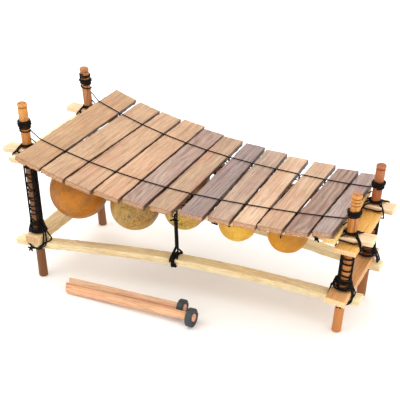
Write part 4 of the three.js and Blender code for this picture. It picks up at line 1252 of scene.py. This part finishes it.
@dataclass
class Windings:
    """The windings high on the posts, that hold the over cords, and the rings at the rails."""

    cord: Cord = Cord(0.0016, lay=0.0062)
    ring: Cord = Cord(0.0015, lay=0.006)
    stray: float = 0.0004
    outer_top: float = 0.001
    outer_foot: float = 0.007
    ring_lift: float = 0.0018
    ring_rise: float = 0.0072

    def messy(self, route: Array, post: Post, seed: int) -> Array:
        """Let a wound route wander up and down and out by a ripple of its length, never inwards."""
        share = np.linspace(0, 1, len(route)) * 40
        route = route + post.outwards(route) * (np.abs(ripple(seed, 7.0, share)) * self.stray)[:, None]
        return route + vec(0.0, 0.0, ripple(seed + 1, 9.0, share) * self.stray)

    def build(self, skin: Material) -> None:
        """Wind the posts' tops in two layers, the second slanting, then the rings."""
        for i, (key, coil) in enumerate(WINDINGS.items()):
            post, radius = POSTS[key], self.cord.radius
            angle, low = -post.side * math.pi / 2, coil.height
            top = low + coil.pitch * coil.turns
            inner = wound(post, post.radius, low, top, coil.turns, angle, 1, radius)
            outer = wound(post, post.radius + radius, top - self.outer_top, low + self.outer_foot, coil.turns / 2,
                          angle, 1, radius)
            loose = [wound(post, post.radius, *run, 1.2, 1, radius * 0.8, 0.001) for run in coil.loose]
            strands = [self.cord.along(np.concatenate([inner, self.messy(outer, post, 200 + i)]))]
            strands += [self.ring.along(strand) for strand in loose]
            show(put(f"{key}_head_winding", joined(strands), skin), f"{key}_winding")
            seat = BED.rail_level(post) + self.ring_lift
            ring = wound(post, post.radius, seat, seat + self.ring_rise, 2, 0.0, 1, self.ring.radius)
            show(put(f"{key}_rail_ring", self.ring.along(ring), skin), f"{key}_ring")


@dataclass
class Lashings:
    """The cord on each leg between the planks: turns on the post, upright stays over them, and close end turns."""

    cord: Cord = Cord(0.0019, lay=0.0075)
    thin: Cord = Cord(0.0013, lay=0.006, around=7)
    bass_stays: tuple[float, ...] = (-156.0, -139.0, -47.0, -24.0, 1.0, 23.0)
    treble_stays: tuple[float, ...] = (-155.0, -124.0, -8.0, 21.0)
    lift: float = 0.0007

    def heights(self, post: Post) -> tuple[float, float]:
        """From the lower plank's top to the upper plank's bottom."""
        low, high = (corner[2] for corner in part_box(post.name.replace("post", "lashing")))
        return low + self.cord.radius, high - self.cord.radius

    def stay_route(self, post: Post) -> Array:
        """The stays in one unbroken run, up and down beside each other, with an arc from each to the next."""
        ends = self.heights(post)
        seat = post.radius + GAP + self.cord.radius + self.lift
        angles = np.radians(self.bass_stays if post.bass else self.treble_stays) * -post.side
        parts = []
        for i, angle in enumerate(angles):
            start, stop = ends[i % 2], ends[1 - i % 2]
            if i:
                parts.append((np.full(10, start), np.linspace(angles[i - 1], angle, 12)[1:-1]))
            parts.append((np.linspace(start, stop, 30), np.full(30, angle)))
        height, angle = np.concatenate(parts, axis=1)
        return post.axis(height) + vec(*(seat * ray(angle).T), 0.0)

    def thick_routes(self, post: Post) -> list[Array]:
        """The stays, the close turns at the top, and on the treble legs the rungs between the stays."""
        low, high = self.heights(post)
        deep, turns = (0.020, 5) if post.bass else (0.003, 1)
        radius, hand = self.cord.radius, -post.side
        close = wound(post, post.radius + self.lift, high, high - deep, turns, 0.7, hand, radius, 0.0006)
        rungs = [] if post.bass else [wound(post, post.radius, high - 0.004, low + 0.012, 6, 0.3, hand, radius, 0.003)]
        return [self.stay_route(post), close] + rungs

    def thin_routes(self, post: Post) -> list[Array]:
        """Turns that open out like a skirt at the foot, and on the bass legs turns both ways between the stays."""
        low, high = self.heights(post)
        radius = self.thin.radius
        foot = wound(post, post.radius + self.cord.radius * 1.6, low, low + 0.024, 7, 1.9, post.side, radius, 0.003)
        routes = [foot + post.outwards(foot) * 0.006 * np.clip(1 - (foot[:, 2:] - low) / 0.018, 0, 1)]
        if post.bass:
            routes += [wound(post, post.radius, low + 0.010, high - 0.010, 8, 0.4, 1, radius, 0.004),
                       wound(post, post.radius, low + 0.014, high - 0.006, 6, 2.0, -1, radius, 0.005)]
        return routes

    def build(self, skin: Material) -> None:
        """Lash the four legs."""
        for key, post in POSTS.items():
            parts = [self.cord.along(r) for r in self.thick_routes(post)]
            parts += [self.thin.along(r, rounds=4) for r in self.thin_routes(post)]
            show(put(f"{key}_leg_lashing", joined(parts), skin), f"{key}_lashing")


@dataclass
class Joints:
    """The cords that cross at each post: over the upper rail and under its plank, and from the leg to the low rail.

    Their routes are millimetres along the instrument, outwards and up from the post's axis at the rail's top.
    """

    planks: dict[str, Plank]
    cord: Cord = Cord(0.0017, lay=0.0068)
    tail: Cord = Cord(0.0022, lay=0.008)

    def upper_routes(self, post: Post) -> list[Route]:
        """Two turns under the plank and over the rail, and a third along the rail's outer face, all from the post."""
        plank = self.planks[f"upper_{post.end}"]
        edge, reach = plank.width / 2 / MM + 2, BED.upper_width / 2 / MM + 2
        under = (plank.bottom - BED.rail_level(post)) / MM - 2
        near = 0.55 if post.bass else 0.9
        routes = []
        for k, out in ((0, reach), (1, reach), (0, -reach)):
            e, away, up = edge + 2.9 * k, math.copysign(1, out), 6 + 2 * k
            routes.append([(-11, -2, up), (-e * near, out - 6 * away, 2), (-e * near, out, -1), (-e, out + away, -13),
                           (-e, out - 4 * away, under), (e, out - 4 * away, under), (e, out + away, -13),
                           (e * near, out, -1), (e * 0.7, out - 6 * away, 2), (11, 2, up)])
        for out in (reach, -reach):
            away = math.copysign(1, out)
            routes.append([(-4, 0.6 * out, 7), (-edge * near * 0.8, out, 1.5), (-edge * near, out + away, -6),
                           (edge * 0.5, out + 1.2 * away, -8.5), (edge, out + away, -5), (9, 0.5 * out, 6)])
        return routes

    def lower_routes(self, post: Post) -> list[Route]:
        """Strands from the leg over the plank's edges, straight on one side, crossed on the other, and a turn below."""
        plank = self.planks[f"lower_{post.end}"]
        edge, out = plank.width / 2 / MM + 2, BED.lower_width / 2 / MM + 1.8
        top, wide = (plank.thickness + GAP) / MM, 10 if post.bass else 2.5
        over = edge * 0.93
        routes = [
            [(12.5, 4, top + 30), (over, -5, top + 3), (edge, -6, top - 1), (edge + 0.9 * wide, -9, 4),
             (edge + wide, 0, 2), (edge + 0.4 * wide, out - 3, 2), (edge + 2, out + 1, -2.8),
             (edge * 0.6, out + 1.5, -9), (6, out - 4, -15.5)],
            [(12.5, 6, top + 22), (over, 9, top + 3), (edge, 9, top), (edge + 1, out - 3, 4), (edge + 1, out + 1, -1),
             (edge * 0.55, out + 3, -9), (4, out - 3, -16.5)],
            [(12.5, -1, top + 16), (over, 1, top + 3), (edge, 1, top), (edge + 0.3 * wide, 4, 3),
             (edge + 0.8 * wide, out - 3, 2.2), (edge + 0.7 * wide, out + 1, -4), (edge * 0.8, out + 2.5, -10),
             (9, out - 4, -17)]]
        for k in range(3):
            e, y, along = -edge - 1.6 * k, 9 - 9 * k, out + 1.2 * k
            routes.append([(-12.5, y * 0.6, top + 30 - 6 * k), (-over, y, top + 3), (e, y, top), (e, y + 2, 4),
                           (e * 0.96, out - 4, 2), (e * 0.9, along, -1), (-10 + 2 * k, along, -13),
                           (-6, out - 6, -15.5)])
        turn = np.linspace(-0.4, 2.6 * math.pi, 48)
        return routes + [vec(*(12.2 * ray(turn).T), -16.8 - 1.1 * turn / math.pi)]

    def tail_routes(self, post: Post) -> list[Route]:
        """The knot under the lower plank and its short ends: beside the bass posts, before the treble ones."""
        spots = [[(-4, 12.5, -18), (-11, 13.5, -19), (-15.5, 13, -21), (-17.5, 11.5, -18.5), (-14.5, 11, -19),
                  (-16, 14, -22.5), (-19.5, 15, -26.5)],
                 [(-14.5, 12.5, -20), (-12.5, 14, -23.5), (-10.5, 15, -27)],
                 [(-15.5, 12.5, -20), (-20.5, 13, -20), (-23.5, 13, -19)]]
        return spots if post.bass else [np.array(r) + [14, 0, 0] for r in spots[:2]]

    def rail_tie(self, x: float) -> Array:
        """Two turns round the upper front rail, with a short end hanging from it."""
        turn = np.linspace(0, 2 * TURN, 60)
        across, up = band(turn, BED.upper_width / 2 + 0.0017, BED.upper_thickness / 2 + 0.0017)
        y = BED.upper_y(-1, x) - across
        z = BED.upper_top(x) - BED.upper_thickness / 2 + up
        tail = [[x + 0.008, y[-1] - 0.001, z[-1] - 0.002], [x + 0.011, y[-1] - 0.002, z[-1] - 0.009]]
        return np.concatenate([vec(x + 0.003 * turn / TURN, y, z), tail])

    def build(self, skin: Material) -> None:
        """Tie the joints of each post, then two small ties on the upper front rail."""
        for key, post in POSTS.items():
            for word, level, routes, ends in (
                    ("upper", BED.rail_level(post), self.upper_routes(post), []),
                    ("lower", BED.lower_top, self.lower_routes(post), self.tail_routes(post))):
                routes, ends = ([post.axis(level) + np.array(r) * [MM, post.side * MM, MM] for r in rows]
                                for rows in (routes, ends))
                knot = joined([self.cord.along(r, rounds=5) for r in routes] + [self.tail.along(r) for r in ends])
                show(put(f"{key}_{word}_joint", knot, skin))
        for i, x in enumerate((0.077, 0.290), 1):
            show(put(f"rail_tie_{i}", self.cord.along(self.rail_tie(x), 0.001), skin))


# ---------------------------------------------------------------- gourds


@dataclass(frozen=True)
class Gourd:
    """An open gourd: its radius, where it hangs along the rail, how far inboard, its mouth and its drop."""

    radius: float
    place: float
    inset: float
    rim_share: float
    drop: float = 0.0

    @property
    def x(self) -> float:
        """Its middle along the instrument."""
        return BED.place(self.place)

    @property
    def rim(self) -> float:
        """The height of its rim over its ball's centre."""
        return self.radius * self.rim_share


GOURDS = {
    "front": [Gourd(0.0645, 0.147, 0.024, 0.75), Gourd(0.0545, 0.322, 0.029, 0.66),
              Gourd(0.045, 0.472, 0.047, 0.28, 0.008), Gourd(0.0415, 0.653, 0.036, 0.42),
              Gourd(0.0435, 0.817, 0.027, 0.37)],
    "back": [Gourd(0.057, 0.235, 0.034, 0.6), Gourd(0.048, 0.398, 0.034, 0.5), Gourd(0.041, 0.55, 0.034, 0.4),
             Gourd(0.038, 0.73, 0.030, 0.4), Gourd(0.036, 0.89, 0.024, 0.4)],
}


@dataclass
class Gourds:
    """The two rows of gourds and the cords that tie them to the rails."""

    wall: float = 0.004
    lump: float = 0.012
    scar: float = 0.0014
    scar_radius: float = 0.005
    tie: Cord = Cord(0.0012, lay=0.005, around=7)
    tie_drop: float = 0.009
    tie_end: float = 0.0066
    tie_slack: float = 0.0008

    def seat(self, side: int, gourd: Gourd) -> tuple[Array, Array, Array]:
        """The mouth's middle, and its axes along the rail and up, tilted with the rail's slope."""
        x, top = gourd.x, BED.upper_top
        reach = gourd.radius * math.sqrt(1 - gourd.rim_share ** 2)
        slope = (top(x + reach / 2) - top(x - reach / 2)) / reach
        spots = np.linspace(-1, 1, 13) * reach
        sink = max(np.max(top(x) + slope * spots - top(x + spots)), 0.0)
        z = top(x) - BED.upper_thickness - GAP - sink - gourd.drop
        return vec(x, BED.upper_y(side, x) - side * gourd.inset, z), *tilted(math.atan(slope))

    def surface(self, side: int, gourd: Gourd, seed: int) -> Surface:
        """A shell: sphere rings from the bottom to the rim, across the rim, then down inside, made slightly lumpy.

        The radius is R (1 + a ripple of the direction), the same for both walls, and a small scar stands at the bottom
        where the stalk or flower was.
        """
        middle, across, up = self.seat(side, gourd)
        inner = gourd.radius - self.wall
        rim, inner_rim = math.asin(gourd.rim_share), math.asin(gourd.rim / inner)
        bottom, rows_out, rows_in, rows_lip = -math.pi / 2 + 0.02, 44, 34, 5
        lip = np.cos(np.linspace(0, math.pi, rows_lip + 2)[1:-1])
        edge, inner_edge = gourd.radius * math.cos(rim), inner * math.cos(inner_rim)
        profile = np.concatenate([
            gourd.radius * ray(np.linspace(bottom, rim, rows_out)),
            vec((edge + inner_edge) / 2 + (edge - inner_edge) / 2 * lip, gourd.rim),
            inner * ray(np.linspace(inner_rim, bottom, rows_in))])
        reach, height = profile.T[..., None]
        direction = vec(*(reach * ray(circle(72)).T[:, None]), height) / gourd.radius
        fade = np.clip((gourd.rim - height) / gourd.radius, 0, 1)
        lump = self.lump * ripple(seed, 1.6, *np.moveaxis(direction, -1, 0)) * fade
        rows = np.arange(len(profile))[:, None]
        scar = self.scar * np.exp(-(reach / self.scar_radius) ** 2) * (height < 0) * (rows < rows_out)
        local = direction * (gourd.radius * (1 + lump) + scar)[..., None]
        points = middle - up * gourd.rim + local @ np.stack([across, ALONG_Y, up])
        lip_row = np.exp(-np.abs(rows - (rows_out + rows_lip // 2)) / 1.2) + 0 * lump
        return capped(points, {"wear": lip_row, "inside": (rows > rows_out + rows_lip) * 1.0 + 0 * lump})

    def tie_route(self, side: int, gourd: Gourd) -> Array:
        """A tie: outside the wall, up round the rail and back down inside the same wall, with its ends turned in."""
        middle, _, up = self.seat(side, gourd)
        reach = self.tie.radius + NIP
        below, drop = gourd.rim - self.tie_drop, -self.tie_drop
        outer = math.sqrt(gourd.radius ** 2 - below ** 2) + reach
        inner = math.sqrt((gourd.radius - self.wall) ** 2 - below ** 2) - reach - self.tie_slack
        front, back = (gourd.inset + hand * (BED.upper_width / 2 + reach) for hand in (1, -1))
        top = gourd.drop + GAP + BED.upper_thickness + reach
        flat = np.array([(outer, drop), (max(front, outer), -reach), (front, top * 0.4), (front, top), (back, top),
                         (back, -reach), (inner, -self.tie_end), (inner, drop)])
        return middle + side * vec(0.0, flat[:, 0], 0.0) + flat[:, 1:] * up

    def build(self, cord: Material) -> None:
        """Shape and dress the gourds, then tie each row to its rail."""
        skins = {skin.name: skin.build() for skin in (
            GourdSkin("gourd_amber", "b87004", "824c08", "60421e", "60401a", 0.7, freckle_share=0.35),
            GourdSkin("gourd_grey_freckled", "bd9646", "a48454", "544834", blotch_share=0.8, freckle_share=0.9,
                      shift=(0.4, 0.1, 0.0)),
            GourdSkin("gourd_yellow_freckled", "d8b652", "d09a34", "6e5832", freckle_share=0.7, shift=(0.9, 0.3, 0.0)),
            GourdSkin("gourd_gold", "e5b43e", "d59930", stain_share=0.35, freckle_share=0.1),
            GourdSkin("gourd_orange", "d08e0c", "ae6b0c", freckle_share=0.15))}
        looks = {"front": "amber grey_freckled yellow_freckled gold orange",
                 "back": "gold amber orange yellow_freckled grey_freckled"}
        for word, side in SIDES.items():
            row = GOURDS[word]
            for i, (gourd, look) in enumerate(zip(row, looks[word].split()), 1):
                shell = self.surface(side, gourd, 290 + 10 * i + side)
                show(put(f"{word}_shell_{i}", shell, skins[f"gourd_{look}"], 60.0), f"{word}_gourd_{i}")
            x = np.linspace(row[0].x, row[-1].x, 60)
            line = vec(x, BED.upper_y(side, x), BED.upper_top(x) + GAP + self.tie.radius)
            ties = joined([self.tie.along(r) for r in [*(self.tie_route(side, gourd) for gourd in row), line]])
            show(put(f"{word}_gourd_ties", ties, cord), f"{word}_gourd_cord")


@dataclass
class Straps:
    """The doubled cord at mid length that draws the upper and the lower rail together.

    It leans over its height, runs over the gourd cord on the upper rail, and splits above the lower one.
    """

    cord: Cord = Cord(0.0021, lay=0.008, around=12)
    place: float = 0.485
    lean: float = 0.006
    spread: float = 0.004
    over_lift: float = 0.0027
    knot_drop: float = 0.008
    split_rise: float = 0.020
    fill: float = 0.0024
    band_start: float = 0.0085
    band_lift: float = 0.0004

    def route(self, side: int) -> Array:
        """The strap's run: round the upper rail, down, apart round the lower rail and back up."""
        x = BED.place(self.place)
        foot = x - self.lean
        reach = self.cord.radius + GAP
        high, low = BED.upper_top(x), BED.lower_top_at(x)
        upper_out, upper_in = (BED.upper_y(side, x) + side * s * (BED.upper_width / 2 + reach) for s in (1, -1))
        lower_out, lower_in = (BED.lower_y(side, foot - s * self.spread) + side * s * (BED.lower_width / 2 + reach)
                               for s in (1, -1))
        middle = BED.lower_y(side, x)
        over, under = high + self.over_lift + reach, high - BED.upper_thickness - reach
        knot, split, bottom = under - self.knot_drop, low + self.split_rise, low - BED.lower_thickness - reach
        return np.array([
            (x + reach, upper_out, knot), (x + reach, upper_out, over), (x - reach, upper_in, over),
            (x - reach, upper_in, under), (x - reach, upper_out, under), (x - reach, upper_out, knot),
            (foot - reach, middle, split), (foot - self.spread, lower_out, low + reach),
            (foot - self.spread, lower_out, bottom), (foot + self.spread, lower_in, bottom),
            (foot + self.spread, lower_in, low + reach), (foot + reach, middle, split),
            (x + reach, upper_out, knot - 2 * self.cord.radius)])

    def extra_routes(self, side: int) -> list[Array]:
        """Strands that fill the strap out before and behind, a band round the lower rail, a knot and two legs."""
        main = self.route(side)
        x = BED.place(self.place)
        upright = np.array([(main[0] + main[5]) / 2, (main[6] + main[11]) / 2])
        fills = [upright + [0, side * d, 0] for d in (self.fill, -self.fill)]
        low, turn = BED.lower_top_at(x), np.linspace(0, 3 * TURN, 100)
        seat = self.cord.radius + self.band_lift
        across, up = band(turn, BED.lower_width / 2 + seat, BED.lower_thickness / 2 + seat)
        at = x - self.lean - self.band_start + 2 * self.cord.radius * turn / TURN
        ring = vec(at, BED.lower_y(side, at) + side * across, low - BED.lower_thickness / 2 + up)
        legs = [np.array([main[k] + [0, 0, 0.004], [x - self.lean + out, main[7][1], low + 0.004]])
                for k, out in ((6, -0.007), (11, 0.009))]
        knot = main[0] + MM * np.array([[4, 0, -2], [0, 3 * side, -4], [-8, 3 * side, -2], [-3, 4 * side, 1],
                                        [-10, 3 * side, -4], [-16, 0, -7]])
        return fills + [ring, knot] + legs

    def build(self, skin: Material) -> None:
        """Hang a strap on each side."""
        for word, side in SIDES.items():
            strap = joined([self.cord.along(strand) for strand in [self.route(side)] + self.extra_routes(side)])
            show(put(f"{word}_strap_cord", strap, skin), f"{word}_mid_strap")


# ---------------------------------------------------------------- mallets


@dataclass(frozen=True)
class Mallet:
    """A mallet on the floor: its grip's place, length, turn, radii and head."""

    name: str
    x: float
    y: float
    length: float
    turn: float
    grip: float
    tip: float
    head: float
    seed: int
    head_width: float = 0.012
    stub: float = 0.001
    slant: float = 0.45
    knife: float = 0.00028
    rim: float = 0.0012
    askew_reach: float = 0.035
    slit: float = 0.00025
    strip_corner: float = 0.0005
    stray: float = 0.0004

    @property
    def head_place(self) -> float:
        """How far along it the head's middle is."""
        return self.length - self.stub - self.head_width / 2

    def axes(self) -> tuple[Array, Array, Array, Array]:
        """The grip end's middle and the directions along, across and up, so that grip and head touch the floor."""
        yaw = math.atan(self.turn / self.length)
        lift = math.atan((self.head - self.grip) / (self.length - self.stub - self.head_width))
        along = vec(math.cos(yaw) * math.cos(lift), math.sin(yaw) * math.cos(lift), math.sin(lift))
        across = vec(-math.sin(yaw), math.cos(yaw), 0.0)
        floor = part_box(f"{self.name}_head")[0][2]
        height = floor + self.head * math.cos(lift) + self.head_width / 2 * math.sin(lift) - along[2] * self.head_place
        return vec(self.x, self.y, height), along, across, np.cross(along, across)

    def handle(self) -> Surface:
        """A whittled stick: a section between a circle and a worn octagon, tapering, with knife facets and sawn ends.

        The grip's end is sawn askew: its points move along by minus the slant times their place across.
        """
        start, along, across, up = self.axes()
        s, angle = stations(0.0, self.length, 0.004)[:, None], circle(48)
        radius = self.grip + (self.tip - self.grip) * s / self.length
        facet = np.cos(math.pi / 8) / np.cos((angle + math.pi / 8) % (math.pi / 4) - math.pi / 8)
        knife = self.knife * ripple(self.seed, 0.9, s * 22, angle) * 0.5 * (1 - np.cos(angle))
        to_end = np.minimum(s, self.length - s) + 0 * angle
        soft = np.clip(to_end / self.rim, 0, 1)
        reach = radius * (0.35 + 0.65 * facet) * (0.94 + 0.06 * np.sqrt(soft)) + knife
        askew = -self.slant * reach * np.cos(angle) * (1 - ease(s, 0.0, self.askew_reach))
        flat = reach[..., None] * ray(angle)
        rings = start + s[..., None] * along + flat @ np.stack([across, up]) + askew[..., None] * along
        caps = [ring.mean(0) + (ring - ring.mean(0)) * np.array([0.85, 0.45])[:, None, None] for ring in rings[[0, -1]]]
        blank = np.ones((2, len(angle)))
        return capped(np.concatenate([caps[0][::-1], rings, caps[1]]),
                      {"wear": np.concatenate([blank * 0, np.exp(-to_end / self.rim) * 0.6, blank * 0]),
                       "end": np.concatenate([blank, np.exp(-to_end / 0.0005), blank])})

    def roll(self, turns: int = 5, steps: int = 56) -> Surface:
        """The rubber strip rolled up: a rounded strip carried along a spiral round the handle."""
        start, along, across, up = self.axes()
        bore = self.grip + (self.tip - self.grip) * (self.head_place - self.head_width / 2) / self.length + GAP
        pitch = (self.head - bore) / (turns + 1)
        turned = np.linspace(0, TURN * turns, turns * steps)
        middle = (bore + pitch / 2 + pitch * turned / TURN)[:, None, None]
        outline = rounded_outline(pitch - self.slit, self.head_width, self.strip_corner, flat=2, arc=2)
        sway = self.stray * ripple(self.seed + 5, 9.0, turned)[:, None, None]
        radial = ray(turned) @ np.stack([across, up])
        rings = start + along * self.head_place + (middle + outline[None, :, :1]) * radial[:, None]
        return capped(rings + (outline[None, :, 1:] + sway) * along)


@dataclass
class Mallets:
    """The two mallets in front of the instrument."""

    pair: tuple[Mallet, ...] = (
        Mallet("front_mallet", -0.248, -0.180, 0.316, -0.010, 0.0115, 0.0088, 0.0215, 510),
        Mallet("rear_mallet", -0.254, -0.156, 0.287, -0.004, 0.0106, 0.0082, 0.0195, 530))

    def build(self, effects: Effects) -> None:
        """Shape and dress the handles and the rolled heads."""
        pink = Timber(name="mallet_pink_wood", grain=Grain.ALONG_X, pale="eebe94", dark="ce8e64", vein="aa6446",
                      end="d69678", worn="f2ceb0", streak=150.0, ring_share=0.15, vein_share=0.25, pore_share=0.2,
                      rough=0.6)
        cream = replace(pink, name="mallet_cream_wood", pale="f4d2ac", dark="d8a67e", stain="ce8e72", stain_share=0.5,
                        shift=(0.5, 0.2, 0.0))
        rubber = RubberSkin("head_rubber", "2c3236", "566064").build()
        for mallet, finish in zip(self.pair, (pink, cream)):
            name, wood = mallet.name, finish.build(effects)
            show(put(f"{name}_stick", mallet.handle(), wood), f"{name}_handle", body=name)
            show(put(f"{name}_roll", mallet.roll(), rubber, 50.0), f"{name}_head", body=name)


# ---------------------------------------------------------------- studio


@dataclass
class Studio:
    """The pale floor, the soft lights and the camera."""

    eye: Point = (0.8374, -1.8499, 1.1999)
    turn: float = 24.5
    down: float = 26.29
    focal_px: float = 1037.0
    frame_px: float = 400.0
    sensor: float = 36.0
    half_floor: float = 9.0
    floor_drop: float = 0.0002
    sky: float = 1.12
    aim: Point = (0.0, 0.0, 0.2)

    def floor(self) -> None:
        """A plain white sheet under everything."""
        points = np.array([[-1, -1], [1, -1], [1, 1], [-1, 1]]) * self.half_floor
        made, tree, shader = material("floor_white", (0.9, 0.9, 0.9))
        tree.join(shader, Base_Color=(0.97, 0.97, 0.97, 1.0), Emission_Color=(1.0, 1.0, 1.0, 1.0),
                  Emission_Strength=0.06, Roughness=0.9)
        put("floor", Surface(vec(*points.T, -self.floor_drop), np.array([[0, 1, 2, 3]])), made)

    def light(self, name: str, place: Point, size: float, power: float, colour: Point = (1.0, 1.0, 1.0)) -> None:
        """A square soft light that faces the instrument's middle."""
        lamp = bpy.data.lights.new(name, "AREA")
        lamp.shape, lamp.size, lamp.energy, lamp.color = "SQUARE", size, power, colour
        held = bpy.data.objects.new(name, lamp)
        held.location = place
        x, y, z = np.array(self.aim) - np.array(place)
        held.rotation_euler = (math.atan2(math.hypot(x, y), -z), 0.0, math.atan2(-x, y))
        bpy.context.scene.collection.objects.link(held)

    def build(self) -> None:
        """Set the floor, the lights, the sky and the camera."""
        self.floor()
        self.light("key_light", (-1.7, -1.1, 3.2), 2.6, 40.0, (1.0, 0.99, 0.97))
        self.light("fill_light", (2.6, -1.6, 1.8), 2.4, 20.0)
        self.light("top_light", (0.2, 1.2, 3.2), 2.6, 28.0)
        world = bpy.data.worlds.new("studio_sky")
        world.use_nodes = True
        Tree(world.node_tree).join(world.node_tree.nodes["Background"], Color=(1.0, 1.0, 1.0, 1.0), Strength=self.sky)
        scene = bpy.context.scene
        scene.world = world
        scene.view_settings.view_transform = "Standard"
        lens = bpy.data.cameras.new("photo_view")
        lens.sensor_width = self.sensor
        lens.lens = self.sensor * self.focal_px / self.frame_px
        lens.clip_end = 50.0
        held = bpy.data.objects.new("photo_view", lens)
        held.location = self.eye
        held.rotation_euler = (math.radians(90 - self.down), 0.0, math.radians(self.turn))
        scene.collection.objects.link(held)
        scene.camera = held


def main() -> None:
    """Build the studio, then the instrument from its frame to its mallets."""
    logging.basicConfig(level=logging.INFO, format="%(name)s: %(message)s")
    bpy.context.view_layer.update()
    Studio().build()
    effects = Effects()
    cord = CordSkin("black_cord", "110d0c", "070505").build()
    keys, planks = Keys(), Planks()
    for part in (keys, Posts(), Rails(), planks):
        part.build(effects)
    for part in (Suspension(keys.each()), Windings(), Lashings(), Joints(planks.all), Gourds(), Straps()):
        part.build(cord)
    Mallets().build(effects)
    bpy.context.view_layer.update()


if __name__ == "__main__":
    main()
